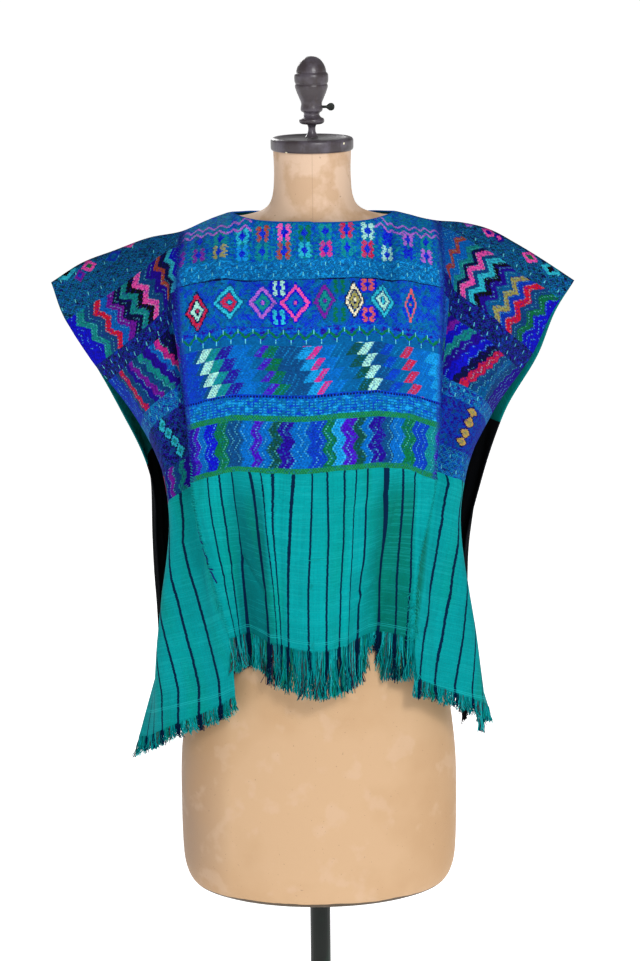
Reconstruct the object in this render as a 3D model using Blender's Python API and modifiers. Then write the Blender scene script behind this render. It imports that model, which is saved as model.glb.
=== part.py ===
"""A brocaded huipil poncho resting on a limbless dress form with a turned finial, a pole and a round base.

Units are metres. +Z is up, -Y is the front, and X runs to the right as seen from the front. The origin is on
the floor, under the middle of the base.

The cloth is six woven panels and three plain back skirts. Each warp line keeps its woven length: tables give
how far out a line lies at several distances down the cloth, and its height follows from the length left over.
"""
import math
from collections import namedtuple

import bmesh
import bpy
import numpy as np

# Cloth
CLOTH = 0.0018           # thickness of a cloth wall
GAP = 0.0003             # space between neighbouring pieces
CENTRE_LENGTH = 0.573    # woven shoulder line to hem, centre length
LEFT_LENGTH = 0.650      # the same for the left length
RIGHT_LENGTH = 0.638     # and for the right one
BROCADE = 0.335          # depth of the brocaded zone below the woven shoulder line, in front
NECK_HALF = 0.107        # half width of the neck slit
FRONT_NECK_Y = -0.062    # how far the slit is pushed open at its middle
BACK_NECK_Y = 0.058
NECK_SAG = 0.006         # how much lower the slit's edge lies than its corners
SLIT_SHAPE = 4           # 2 opens the slit as a pointed oval, and more squares it
SLIT_SETTLE = 0.070      # distance over which the cloth takes the form of the chest below the slit

# Resolution of the cloth
CENTRE_CELLS = 18
SIDE_CELLS = 9
FINE = 2                 # surface samples for each cell across
FINE_STEP = 0.005        # surface samples down the cloth
REACH = 0.75             # how far down the surface is worked out
FRONT_ROWS = 23
FRONT_SIDE_ROWS = 26
YOKE_ROWS = 14
SKIRT_ROWS = 8
SKIRT_SIDE_ROWS = 11

# Sections of a side length. down is the distance from the shoulder fold; seam, crest and edge are places across
# the cloth, x out from the middle and y forward or back; dip is how deep the valley beside the seam is.
Side = namedtuple("Side", "down seam_x seam_y dip crest_x crest_y edge_x edge_y")
LEFT_FRONT = [
    Side(0.000, 0.168, 0.000, 0.000, 0.273, 0.000, 0.343, 0.000),
    Side(0.050, 0.174, -0.042, 0.004, 0.266, -0.036, 0.325, -0.018),
    Side(0.110, 0.176, -0.078, 0.010, 0.250, -0.062, 0.294, -0.024),
    Side(0.200, 0.170, -0.098, 0.020, 0.222, -0.072, 0.242, -0.016),
    Side(0.300, 0.162, -0.106, 0.026, 0.197, -0.062, 0.202, 0.004),
    Side(0.380, 0.156, -0.110, 0.024, 0.190, -0.052, 0.188, 0.016),
    Side(0.470, 0.137, -0.117, 0.014, 0.201, -0.050, 0.187, 0.020),
    Side(0.570, 0.113, -0.122, 0.006, 0.208, -0.062, 0.213, 0.004),
    Side(0.680, 0.106, -0.124, 0.002, 0.200, -0.086, 0.243, -0.022),
]
RIGHT_FRONT = [
    Side(0.000, 0.161, 0.000, 0.000, 0.270, 0.000, 0.341, 0.000),
    Side(0.050, 0.165, -0.042, 0.004, 0.256, -0.036, 0.312, -0.018),
    Side(0.110, 0.167, -0.078, 0.010, 0.244, -0.062, 0.286, -0.024),
    Side(0.200, 0.163, -0.098, 0.020, 0.220, -0.072, 0.237, -0.016),
    Side(0.300, 0.160, -0.106, 0.026, 0.195, -0.062, 0.198, 0.004),
    Side(0.380, 0.152, -0.110, 0.024, 0.188, -0.052, 0.183, 0.016),
    Side(0.470, 0.132, -0.117, 0.014, 0.197, -0.052, 0.184, 0.020),
    Side(0.570, 0.126, -0.122, 0.006, 0.210, -0.064, 0.211, 0.004),
    Side(0.680, 0.128, -0.124, 0.002, 0.214, -0.086, 0.242, -0.022),
]
LEFT_BACK = [
    LEFT_FRONT[0],
    Side(0.050, 0.170, 0.045, 0.000, 0.264, 0.030, 0.330, 0.014),
    Side(0.110, 0.174, 0.080, 0.000, 0.252, 0.055, 0.299, 0.020),
    Side(0.200, 0.172, 0.105, 0.004, 0.234, 0.068, 0.257, 0.022),
    Side(0.300, 0.165, 0.118, 0.010, 0.218, 0.072, 0.220, 0.032),
    Side(0.400, 0.160, 0.126, 0.014, 0.214, 0.074, 0.216, 0.044),
    Side(0.500, 0.155, 0.132, 0.012, 0.212, 0.078, 0.212, 0.050),
    Side(0.600, 0.148, 0.138, 0.008, 0.210, 0.082, 0.207, 0.052),
    Side(0.700, 0.144, 0.142, 0.006, 0.208, 0.084, 0.203, 0.054),
]
RIGHT_BACK = [
    RIGHT_FRONT[0],
    Side(0.050, 0.168, 0.045, 0.000, 0.258, 0.030, 0.318, 0.014),
    Side(0.110, 0.172, 0.080, 0.000, 0.248, 0.056, 0.297, 0.020),
    Side(0.200, 0.170, 0.105, 0.006, 0.228, 0.070, 0.253, 0.024),
    Side(0.300, 0.163, 0.118, 0.014, 0.212, 0.074, 0.222, 0.030),
    Side(0.400, 0.157, 0.126, 0.018, 0.201, 0.076, 0.201, 0.042),
    Side(0.500, 0.152, 0.132, 0.014, 0.200, 0.080, 0.196, 0.048),
    Side(0.600, 0.147, 0.138, 0.008, 0.204, 0.082, 0.198, 0.052),
    Side(0.700, 0.144, 0.142, 0.006, 0.206, 0.084, 0.200, 0.054),
]

# Sections of the centre length: the roll down its middle and the valley on each side of it.
Middle = namedtuple("Middle", "down roll_y left_x left_y right_x right_y")
CENTRE_FRONT = [
    Middle(0.000, -0.066, 0.105, -0.002, 0.105, -0.002),
    Middle(0.050, -0.088, 0.108, -0.048, 0.106, -0.048),
    Middle(0.110, -0.117, 0.110, -0.092, 0.108, -0.092),
    Middle(0.200, -0.140, 0.110, -0.125, 0.108, -0.125),
    Middle(0.300, -0.147, 0.110, -0.132, 0.108, -0.132),
    Middle(0.400, -0.150, 0.108, -0.126, 0.106, -0.126),
    Middle(0.500, -0.155, 0.098, -0.114, 0.088, -0.114),
    Middle(0.600, -0.162, 0.090, -0.105, 0.078, -0.105),
]
CENTRE_BACK = [
    Middle(0.000, 0.060, 0.105, 0.002, 0.105, 0.002),
    Middle(0.050, 0.084, 0.108, 0.052, 0.106, 0.052),
    Middle(0.110, 0.106, 0.110, 0.093, 0.108, 0.093),
    Middle(0.200, 0.122, 0.110, 0.114, 0.108, 0.114),
    Middle(0.300, 0.132, 0.110, 0.124, 0.108, 0.124),
    Middle(0.400, 0.138, 0.106, 0.124, 0.106, 0.124),
    Middle(0.500, 0.146, 0.100, 0.122, 0.100, 0.122),
    Middle(0.600, 0.154, 0.096, 0.122, 0.096, 0.122),
]
SEAM_TO_DIP = 0.36       # where the valley beside the seam lies, as a share of the way to the crest
DIP_SHIFT = 0.3          # how far the valley also moves towards the form's side
SIDE_KNOTS = (0.0, 0.24, 0.62, 1.0)           # seam, dip, crest and edge across a side length
CENTRE_KNOTS = (-1.0, -0.62, 0.0, 0.62, 1.0)  # seam, valley, roll, valley and seam across the centre

# The shoulder fold's height, out from the neck's corner
Fold = namedtuple("Fold", "x z")
LEFT_FOLD = [
    Fold(0.107, 1.3235),
    Fold(0.138, 1.3130),
    Fold(0.168, 1.3000),
    Fold(0.214, 1.2910),
    Fold(0.259, 1.2750),
    Fold(0.304, 1.2580),
    Fold(0.343, 1.2335),
]
RIGHT_FOLD = [
    Fold(0.107, 1.3225),
    Fold(0.159, 1.3100),
    Fold(0.195, 1.3066),
    Fold(0.231, 1.2970),
    Fold(0.264, 1.2790),
    Fold(0.294, 1.2605),
    Fold(0.341, 1.2290),
]

# The height of the brocade's lower edge: across is 0 at the middle, 1 at the right seam, 2 at the right edge,
# and the same below 0 to the left. At the back the black skirts are sewn on there.
Level = namedtuple("Level", "across front back")
BROCADE_LEVEL = [
    Level(-2.0, 0.9440, 0.9830),
    Level(-1.6, 0.9750, 1.0060),
    Level(-1.0, 1.0130, 1.0190),
    Level(0.0, 1.0105, 1.0080),
    Level(1.0, 1.0130, 1.0210),
    Level(1.6, 0.9750, 1.0380),
    Level(2.0, 0.9440, 1.0370),
]

# Fringe
STRIP = 0.003            # depth of the strip that holds a fringe's roots
STRAND = 0.0022          # width of a strand at its root
STRAND_WAIST = 0.75      # a strand's width half way down, as a share of its root
SWAY = 0.0016            # how far a strand wanders sideways
Fringe = namedtuple("Fringe", "strands length uneven")
LONG_FRINGE = Fringe(46, 0.060, 0.012)
SHORT_FRINGE = Fringe(22, 0.018, 0.004)
BACK_LONG_FRINGE = Fringe(34, 0.058, 0.010)
BACK_SHORT_FRINGE = Fringe(17, 0.018, 0.004)

# Dress form: rings from the neck down. Each is an oval whose sides may lie higher or lower than its front, and
# with no height of their own they lie just under the shoulder fold of the cloth, which rests there.
Ring = namedtuple("Ring", "side_z front_z half_width half_depth bust")
FORM_SIDES = 40
NECK_TOP = 1.4035
SHOULDER_REST = 0.0005   # space between the form's shoulders and the cloth that rests there
SHOULDER_ROUND = 1.1     # near 1 the shoulders are a soft ridge, and at 2 they are round
FORM_RINGS = [
    Ring(NECK_TOP, NECK_TOP, 0.0505, 0.0480, 0.0),
    Ring(1.3720, 1.3700, 0.0498, 0.0478, 0.0),
    Ring(1.3440, 1.3400, 0.0525, 0.0490, 0.0),
    Ring(1.3290, 1.3200, 0.0620, 0.0505, 0.0),
    Ring(1.3210, 1.2980, 0.0850, 0.0560, 0.0),
    Ring(None, 1.2700, 0.1200, 0.0640, 0.0),
    Ring(None, 1.2350, 0.1500, 0.0780, 0.002),
    Ring(1.2800, 1.2000, 0.1680, 0.0970, 0.006),
    Ring(1.2150, 1.1650, 0.1740, 0.1120, 0.010),
    Ring(1.1350, 1.1200, 0.1670, 0.1170, 0.012),
    Ring(1.0600, 1.0550, 0.1540, 0.1100, 0.007),
    Ring(0.9800, 0.9800, 0.1390, 0.1010, 0.002),
    Ring(0.8900, 0.8900, 0.1300, 0.0950, 0.0),
    Ring(0.8000, 0.8000, 0.1460, 0.1030, 0.0),
    Ring(0.7000, 0.7000, 0.1710, 0.1150, 0.0),
    Ring(0.6000, 0.6000, 0.1850, 0.1240, 0.0),
    Ring(0.5200, 0.5200, 0.1870, 0.1260, 0.0),
    Ring(0.4560, 0.4560, 0.1858, 0.1252, 0.0),
    Ring(0.4280, 0.4280, 0.1815, 0.1220, 0.0),
    Ring(0.4110, 0.4110, 0.1725, 0.1160, 0.0),
    Ring(0.4045, 0.4045, 0.1600, 0.1065, 0.0),
]
BUST_ANGLE = math.radians(57)
BUST_SPREAD = math.radians(24)

# Hardware
TURNED_SIDES = 24
CAP_RADIUS = 0.0537
CAP_HEIGHT = 0.0165
POLE_RADIUS = 0.0138
POLE_SIDES = 24
BASE_RADIUS = 0.200
BASE_RIM = 0.014
BASE_TOP = 0.052
COLLAR_RADIUS = 0.0215
SCREW_SIDES = 12
Section = namedtuple("Section", "x half_y half_z")
THUMB_SCREW = [
    Section(0.0000, 0.0018, 0.0018),
    Section(0.0052, 0.0018, 0.0018),
    Section(0.0068, 0.0016, 0.0030),
    Section(0.0092, 0.0013, 0.0048),
    Section(0.0124, 0.0013, 0.0050),
    Section(0.0148, 0.0012, 0.0036),
    Section(0.0158, 0.0010, 0.0014),
]

# Colours: red, green, blue, roughness, metallic
Finish = namedtuple("Finish", "red green blue roughness metallic")
BROCADE_FINISH = Finish(0.03, 0.14, 0.42, 0.85, 0.0)
BLACK_FINISH = Finish(0.012, 0.016, 0.018, 0.88, 0.0)
FRINGE_FINISH = Finish(0.02, 0.28, 0.25, 0.85, 0.0)
CANVAS_FINISH = Finish(0.66, 0.45, 0.27, 0.65, 0.0)
WOOD_FINISH = Finish(0.055, 0.045, 0.042, 0.45, 0.0)
IRON_FINISH = Finish(0.020, 0.035, 0.030, 0.40, 0.6)

# One side of the garment as a sampled surface. On each warp line, start is the woven depth at the fold and join is
# the woven depth at the brocade's lower edge.
Half = namedtuple("Half", "across down points normals wefts start join")


def smooth(knots, values, at):
    """A smooth curve through the values at the knots; values may be rows of an array."""
    knots = np.asarray(knots, float)
    values = np.asarray(values, float)
    at = np.asarray(at, float)
    slopes = np.gradient(values, knots, axis=0)
    i = np.clip(np.searchsorted(knots, at) - 1, 0, len(knots) - 2)
    width = knots[i + 1] - knots[i]
    s = (at - knots[i]) / width
    if values.ndim > 1:
        s, width = s[:, None], width[:, None]
    before = (1 + 2 * s) * (1 - s) ** 2 * values[i] + s * (1 - s) ** 2 * width * slopes[i]
    after = s ** 2 * (3 - 2 * s) * values[i + 1] - s ** 2 * (1 - s) * width * slopes[i + 1]
    return before + after


def columns(rows, at):
    """Each named column of a table, read smoothly at the given distances."""
    first = [row[0] for row in rows]
    names = rows[0]._fields[1:]
    return type(rows[0])(at, *(smooth(first, [getattr(row, name) for row in rows], at) for name in names))


def fold_height(x):
    """Height of the shoulder fold, and of the slit's edge between its corners."""
    rows = LEFT_FOLD if x < 0 else RIGHT_FOLD
    out = abs(x)
    if out < NECK_HALF:
        return rows[0].z - NECK_SAG * (1 - (out / NECK_HALF) ** SLIT_SHAPE)
    return float(columns(rows, np.array([out])).z[0])


def side_lines(rows, sign, across, down):
    """x and y of a side length's warp lines; across runs from 0 at the seam to 1 at the outer edge."""
    row = columns(rows, down)
    outward = np.sign(rows[-1].seam_y)
    dip_x = row.seam_x + SEAM_TO_DIP * (row.crest_x - row.seam_x) - row.dip
    dip_y = row.seam_y + SEAM_TO_DIP * (row.crest_y - row.seam_y) - outward * DIP_SHIFT * row.dip
    x = smooth(SIDE_KNOTS, np.stack([row.seam_x, dip_x, row.crest_x, row.edge_x]), across)
    y = smooth(SIDE_KNOTS, np.stack([row.seam_y, dip_y, row.crest_y, row.edge_y]), across)
    return sign * x, y


def centre_lines(rows, left, right, neck_y, across, down):
    """x and y of the centre's warp lines; across runs from -1 at the left seam to 1 at the right seam."""
    row, left, right = columns(rows, down), columns(left, down), columns(right, down)
    middle = np.zeros_like(down)
    x = smooth(CENTRE_KNOTS, np.stack([-left.seam_x, -row.left_x, middle, row.right_x, right.seam_x]), across)
    y = smooth(CENTRE_KNOTS, np.stack([left.seam_y, row.left_y, row.roll_y, row.right_y, right.seam_y]), across)
    out = np.clip(np.abs(x[:, :1]) / NECK_HALF, 0, 1)
    slit = neck_y * (1 - out ** SLIT_SHAPE)
    settle = np.clip(down / SLIT_SETTLE, 0, 1)
    settle = settle * settle * (3 - 2 * settle)
    return x, y + (1 - settle) * (slit - y[:, :1])


def heights(x, y, down):
    """Heights that keep each warp line's woven length."""
    step = np.diff(down)
    left_over = step ** 2 - np.diff(x, axis=1) ** 2 - np.diff(y, axis=1) ** 2
    fall = np.sqrt(np.maximum(left_over, (0.12 * step) ** 2))
    top = np.array([fold_height(value) for value in x[:, 0]])
    return top[:, None] - np.concatenate([np.zeros((len(x), 1)), np.cumsum(fall, axis=1)], axis=1)


def brocade_reach(across, down, points, side):
    """How far from the fold each warp line comes to the height of the brocade's lower edge."""
    levels = getattr(columns(BROCADE_LEVEL, across), side)
    return np.array([np.interp(-z, -line[:, 2], down) for z, line in zip(levels, points)])


def surface_normals(points, outward):
    """Unit normals of a sampled surface, all pointing outward, along -Y or +Y on average."""
    normals = unit(np.cross(np.gradient(points, axis=0), np.gradient(points, axis=1)))
    return normals * outward * np.sign(normals[:, :, 1].mean())


def half_garment(side_name, centre, left, right, neck_y, front=None):
    """The whole front or back as one sampled surface, from the left outer edge to the right one.

    The start follows from the brocade's depth, but the back's side lengths take it from the front, because there
    the brocade is the same on both sides of the fold."""
    down = np.arange(0, REACH, FINE_STEP)
    middle = np.linspace(-1, 1, CENTRE_CELLS * FINE + 1)
    side = np.linspace(0, 1, SIDE_CELLS * FINE + 1)
    parts = [
        side_lines(left, -1, side[:0:-1], down),
        centre_lines(centre, left, right, neck_y, middle, down),
        side_lines(right, 1, side[1:], down),
    ]
    x = np.concatenate([part[0] for part in parts])
    y = np.concatenate([part[1] for part in parts])
    across = np.concatenate([-1 - side[:0:-1], middle, 1 + side[1:]])
    points = np.stack([x, y, heights(x, y, down)], axis=2)
    normals = surface_normals(points, np.sign(neck_y))
    wefts = unit(np.gradient(points, axis=0))
    reach = brocade_reach(across, down, points, side_name)
    start = BROCADE - reach
    if front is not None:
        start = np.where(np.abs(across) > 1, front.start, start)
    return Half(across, down, points, normals, wefts, start, start + reach)


def share_fold_normals(front, back):
    """Give both halves the same normal along the shoulder fold, outside the neck slit."""
    for i in range(len(front.across)):
        if abs(front.points[i, 0, 0]) >= NECK_HALF:
            both = unit(front.normals[i, 0] + back.normals[i, 0])
            front.normals[i, 0] = back.normals[i, 0] = both


def read(half, values, i, at):
    """Values of one warp line, such as its points or normals, at distances from the fold."""
    return np.stack([np.interp(at, half.down, values[i, :, k]) for k in range(3)], axis=1)


def unit(vectors):
    """The same directions at length one."""
    return vectors / np.linalg.norm(vectors, axis=-1, keepdims=True)


def lines_of(half, first, last):
    """Indexes of the warp lines that a panel uses, at the solids' own spacing."""
    inside = np.flatnonzero((half.across > first - 1e-9) & (half.across < last + 1e-9))
    return inside[::FINE]


def panel_points(half, first, last, begin, end, rows):
    """Mid-surface points and normals of a panel, its seam sides drawn in by half a gap. begin and end are distances
    from the fold on each warp line."""
    grid, normals = [], []
    share = np.linspace(0, 1, rows + 1)
    chosen = lines_of(half, first, last)
    for i in chosen:
        at = begin[i] + share * (end[i] - begin[i])
        line = read(half, half.points, i, at)
        if i == chosen[0]:
            line += unit(read(half, half.wefts, i, at)) * GAP / 2
        if i == chosen[-1]:
            line -= unit(read(half, half.wefts, i, at)) * GAP / 2
        grid.append(line)
        normals.append(unit(read(half, half.normals, i, at)))
    if not begin.any():
        part_at_fold(grid, half)
    return np.array(grid), np.array(normals)


def part_at_fold(grid, half):
    """Leave the gap along the shoulder fold, where front and back meet."""
    toward = np.sign(half.points[len(half.across) // 2, 0, 1])
    for line in grid:
        line[0, 1] += toward * GAP / 2


def material(name, finish):
    """A Principled material."""
    made = bpy.data.materials.new(name)
    made.use_nodes = True
    shader = made.node_tree.nodes["Principled BSDF"]
    shader.inputs["Base Color"].default_value = (finish.red, finish.green, finish.blue, 1)
    shader.inputs["Roughness"].default_value = finish.roughness
    shader.inputs["Metallic"].default_value = finish.metallic
    return made


def solid(name, vertices, faces, finish, parts, sharp=40):
    """A closed mesh object with smooth shading and its own material."""
    mesh = bpy.data.meshes.new(name)
    mesh.from_pydata([tuple(map(float, point)) for point in vertices], [], faces)
    clean = bmesh.new()
    clean.from_mesh(mesh)
    bmesh.ops.recalc_face_normals(clean, faces=clean.faces)
    clean.to_mesh(mesh)
    clean.free()
    mesh.shade_smooth()
    mesh.set_sharp_from_angle(angle=math.radians(sharp))
    return place(name, mesh, finish, parts)


def place(name, mesh, finish, parts):
    """An object of the mesh in the parts' collection."""
    mesh.materials.append(material(name + "_finish", finish))
    made = bpy.data.objects.new(name, mesh)
    parts.objects.link(made)
    return made


def cloth_wall(name, grid, normals, finish, parts):
    """A wall of cloth about a grid of mid-surface points."""
    count, rows = grid.shape[:2]
    outer = (grid + normals * CLOTH / 2).reshape(-1, 3)
    inner = (grid - normals * CLOTH / 2).reshape(-1, 3)
    under = len(outer)

    def at(i, j):
        return i * rows + j

    faces = []
    for i in range(count - 1):
        for j in range(rows - 1):
            quad = [at(i, j), at(i + 1, j), at(i + 1, j + 1), at(i, j + 1)]
            faces.append(quad)
            faces.append([under + k for k in reversed(quad)])
    rim = [at(i, 0) for i in range(count)]
    rim += [at(count - 1, j) for j in range(1, rows)]
    rim += [at(i, rows - 1) for i in range(count - 2, -1, -1)]
    rim += [at(0, j) for j in range(rows - 2, 0, -1)]
    for a, b in zip(rim, rim[1:] + rim[:1]):
        faces.append([b, a, under + a, under + b])
    return solid(name, np.concatenate([outer, inner]), faces, finish, parts)


def wander(k, seed):
    """An uneven number from -1 to 1 for strand k, the same each time."""
    return math.sin(k * 12.9898 + seed * 78.233) * 0.7 + math.sin(k * 3.7 + seed) * 0.3


def hem_line(half, first, last, length, at):
    """Points, warp directions and normals along the hem, at shares of the way across."""
    chosen = lines_of(half, first, last)
    points, directions, normals = [], [], []
    for i in chosen:
        hem = length - half.start[i]
        line = read(half, half.points, i, [hem, hem + 2 * FINE_STEP])
        points.append(line[0])
        directions.append(line[1] - line[0])
        normals.append(read(half, half.normals, i, [hem])[0])
    points = np.array(points)
    run = np.concatenate([[0], np.cumsum(np.linalg.norm(np.diff(points, axis=0), axis=1))])
    found = []
    for values in (points, np.array(directions), np.array(normals)):
        found.append(np.stack([np.interp(at * run[-1], run, values[:, k]) for k in range(3)], axis=1))
    return found[0], unit(found[1]), unit(found[2]), run[-1]


def fringe(name, half, first, last, length, kind, finish, parts, seed):
    """A narrow strip below the hem with the warp ends hanging from it as tapered strands."""
    full = hem_line(half, first, last, length, np.array([0.0, 1.0]))[3]
    pitch = full / kind.strands
    stops = []
    for k in range(kind.strands):
        middle = (k + 0.5) * pitch
        stops += [middle - STRAND / 2, middle + STRAND / 2]
    stops = np.array([GAP] + stops + [full - GAP]) / full
    points, down, normals, _ = hem_line(half, first, last, length, stops)
    across = unit(np.gradient(points, axis=0))
    vertices, faces = [], []
    for point, direction, normal in zip(points, down, normals):
        for drop in (GAP, GAP + STRIP):
            for side in (CLOTH / 2, -CLOTH / 2):
                vertices.append(point + direction * drop + normal * side)

    def strip(i, k):
        return 4 * i + k

    count = len(stops)
    for i in range(count - 1):
        a, b = strip(i, 0), strip(i + 1, 0)
        faces += [[a, b, b + 2, a + 2], [a + 1, a + 3, b + 3, b + 1], [a, a + 1, b + 1, b]]
        root = [a + 2, b + 2, b + 3, a + 3]
        if i % 2 == 0:
            faces.append(root)
        else:
            hang_strand(vertices, faces, root, down[i], across[i], kind, (i - 1) // 2, seed)
    faces.append([0, 2, 3, 1])
    last_row = strip(count - 1, 0)
    faces.append([last_row, last_row + 1, last_row + 3, last_row + 2])
    return solid(name, np.array(vertices), faces, finish, parts)


def hang_strand(vertices, faces, root, down, across, kind, k, seed):
    """One four-sided strand from its root face to a point, with a slight bend half way."""
    reach = kind.length + kind.uneven * wander(k, seed)
    corners = np.array([vertices[v] for v in root])
    middle = corners.mean(axis=0)
    sway = across * SWAY * min(1.0, reach / LONG_FRINGE.length)
    waist = middle + down * reach * 0.5 + sway * wander(k, seed + 5)
    ring = len(vertices)
    for corner in corners:
        vertices.append(waist + (corner - middle) * STRAND_WAIST)
    vertices.append(middle + down * reach + sway * wander(k, seed + 9))
    tip = len(vertices) - 1
    for a in range(4):
        b = (a + 1) % 4
        faces.append([root[a], root[b], ring + b, ring + a])
        faces.append([ring + a, ring + b, tip])


def loft(name, rings, finish, parts):
    """A closed solid through rings of equal counts, its ends flat."""
    size = len(rings[0])
    vertices = np.concatenate(rings)
    faces = [list(range(size)), [len(vertices) - 1 - k for k in range(size)]]
    for r in range(len(rings) - 1):
        for k in range(size):
            a, b = r * size + k, r * size + (k + 1) % size
            faces.append([a, b, b + size, a + size])
    return solid(name, vertices, faces, finish, parts)


def shoulder_rest(x):
    """Height of the form's shoulder under the cloth's fold, which lies there on the lower side."""
    return min(fold_height(-x), fold_height(x)) - CLOTH / 2 - SHOULDER_REST


def form_ring(ring):
    """One oval of the dress form. The bust swells the front's two quarters."""
    side_z = shoulder_rest(ring.half_width) if ring.side_z is None else ring.side_z
    points = []
    for k in range(FORM_SIDES):
        angle = 2 * math.pi * k / FORM_SIDES
        from_front = math.remainder(angle + math.pi / 2, 2 * math.pi)
        swell = math.exp(-((abs(from_front) - (math.pi / 2 - BUST_ANGLE)) / BUST_SPREAD) ** 2)
        x = ring.half_width * math.cos(angle)
        y = ring.half_depth * math.sin(angle) - ring.bust * swell
        z = side_z - (side_z - ring.front_z) * abs(math.sin(angle)) ** SHOULDER_ROUND
        points.append((x, y, z))
    return np.array(points)


def turned(name, profile, finish, parts, sides=TURNED_SIDES):
    """A turned piece: the profile runs down its outer side from the axis to the axis."""
    mesh = bpy.data.meshes.new(name)
    edges = [(k, k + 1) for k in range(len(profile) - 1)]
    mesh.from_pydata([(radius, 0, z) for radius, z in profile], edges, [])
    made = place(name, mesh, finish, parts)
    screw = made.modifiers.new("Turn", "SCREW")
    screw.steps = screw.render_steps = sides
    screw.use_merge_vertices = True
    screw.merge_threshold = 0.0001
    screw.use_smooth_shade = True
    return made


def make_cloth(parts):
    """The six woven panels, the three black skirts and their fringes."""
    front = half_garment("front", CENTRE_FRONT, LEFT_FRONT, RIGHT_FRONT, FRONT_NECK_Y)
    back = half_garment("back", CENTRE_BACK, LEFT_BACK, RIGHT_BACK, BACK_NECK_Y, front)
    fold = np.zeros(len(front.across))
    join = back.join - back.start
    share_fold_normals(front, back)
    for seed, (side, first, last, length) in enumerate((
        ("left", -2, -1, LEFT_LENGTH),
        ("centre", -1, 1, CENTRE_LENGTH),
        ("right", 1, 2, RIGHT_LENGTH),
    )):
        wide = side == "centre"
        rows = FRONT_ROWS if wide else FRONT_SIDE_ROWS
        grid, normals = panel_points(front, first, last, fold, length - front.start, rows)
        cloth_wall(side + "_front", grid, normals, BROCADE_FINISH, parts)
        grid, normals = panel_points(back, first, last, fold, join - GAP / 2, YOKE_ROWS)
        cloth_wall(side + "_back_yoke", grid, normals, BROCADE_FINISH, parts)
        rows = SKIRT_ROWS if wide else SKIRT_SIDE_ROWS
        grid, normals = panel_points(back, first, last, join + GAP / 2, length - back.start, rows)
        cloth_wall(side + "_back_skirt", grid, normals, BLACK_FINISH, parts)
        kind = LONG_FRINGE if wide else SHORT_FRINGE
        fringe(side + "_front_fringe", front, first, last, length, kind, FRINGE_FINISH, parts, seed)
        kind = BACK_LONG_FRINGE if wide else BACK_SHORT_FRINGE
        fringe(side + "_back_fringe", back, first, last, length, kind, BLACK_FINISH, parts, seed + 3)


def make_form(parts):
    """The torso and the cap on its neck."""
    loft("form_torso", [form_ring(ring) for ring in FORM_RINGS], CANVAS_FINISH, parts)
    bottom = NECK_TOP + GAP
    top = bottom + CAP_HEIGHT
    turned("neck_cap", [
        (0, top),
        (CAP_RADIUS - 0.003, top),
        (CAP_RADIUS - 0.0008, top - 0.0014),
        (CAP_RADIUS, top - 0.004),
        (CAP_RADIUS, bottom + 0.003),
        (CAP_RADIUS - 0.001, bottom + 0.0008),
        (CAP_RADIUS - 0.0025, bottom),
        (0, bottom),
    ], WOOD_FINISH, parts)
    return top


def make_finial(seat, parts):
    """The turned finial on the cap, and the thumbscrew in its collar."""
    foot = seat + GAP
    turned("finial", [
        (0.0000, foot + 0.1035),
        (0.0060, foot + 0.1026),
        (0.0120, foot + 0.0990),
        (0.0165, foot + 0.0930),
        (0.0192, foot + 0.0855),
        (0.0196, foot + 0.0832),
        (0.0212, foot + 0.0812),
        (0.0220, foot + 0.0745),
        (0.0214, foot + 0.0700),
        (0.0205, foot + 0.0684),
        (0.0212, foot + 0.0664),
        (0.0196, foot + 0.0590),
        (0.0160, foot + 0.0500),
        (0.0136, foot + 0.0440),
        (0.0134, foot + 0.0330),
        (0.0110, foot + 0.0315),
        (0.0100, foot + 0.0290),
        (0.0120, foot + 0.0255),
        (0.0158, foot + 0.0232),
        (0.0160, foot + 0.0190),
        (0.0140, foot + 0.0172),
        (0.0064, foot + 0.0160),
        (0.0060, foot + 0.0040),
        (0.0090, foot),
        (0.0000, foot),
    ], WOOD_FINISH, parts)
    collar_x, collar_z = 0.0135 + GAP, foot + 0.0385
    rings = []
    for section in THUMB_SCREW:
        turns = [2 * math.pi * k / SCREW_SIDES for k in range(SCREW_SIDES)]
        x = collar_x + section.x
        rings.append(np.array([
            (x, section.half_y * math.cos(turn), collar_z + section.half_z * math.sin(turn)) for turn in turns
        ]))
    loft("thumb_screw", rings, IRON_FINISH, parts)


def make_stand(parts):
    """The pole under the torso and the round base."""
    low, high = BASE_TOP + GAP, FORM_RINGS[-1].side_z - GAP
    bpy.ops.mesh.primitive_cylinder_add(
        vertices=POLE_SIDES, radius=POLE_RADIUS, depth=high - low, location=(0, 0, (low + high) / 2)
    )
    pole = bpy.context.object
    pole.name = "pole"
    pole.data.shade_smooth()
    pole.data.set_sharp_from_angle(angle=math.radians(40))
    pole.data.materials.append(material("pole_finish", IRON_FINISH))
    for owner in list(pole.users_collection):
        owner.objects.unlink(pole)
    parts.objects.link(pole)
    turned("base", [
        (0, BASE_TOP),
        (COLLAR_RADIUS - 0.002, BASE_TOP),
        (COLLAR_RADIUS, BASE_TOP - 0.002),
        (COLLAR_RADIUS, 0.034),
        (COLLAR_RADIUS + 0.010, 0.0285),
        (0.090, 0.0235),
        (0.150, 0.0190),
        (BASE_RADIUS - 0.008, BASE_RIM),
        (BASE_RADIUS - 0.001, BASE_RIM - 0.0035),
        (BASE_RADIUS, BASE_RIM - 0.007),
        (BASE_RADIUS, 0.002),
        (BASE_RADIUS - 0.002, 0),
        (0, 0),
    ], IRON_FINISH, parts, sides=40)


def main():
    for old in list(bpy.data.objects):
        bpy.data.objects.remove(old, do_unlink=True)
    parts = bpy.data.collections.new("huipil_on_form")
    bpy.context.scene.collection.children.link(parts)
    make_cloth(parts)
    cap_top = make_form(parts)
    make_finial(cap_top, parts)
    make_stand(parts)


main()
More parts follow.
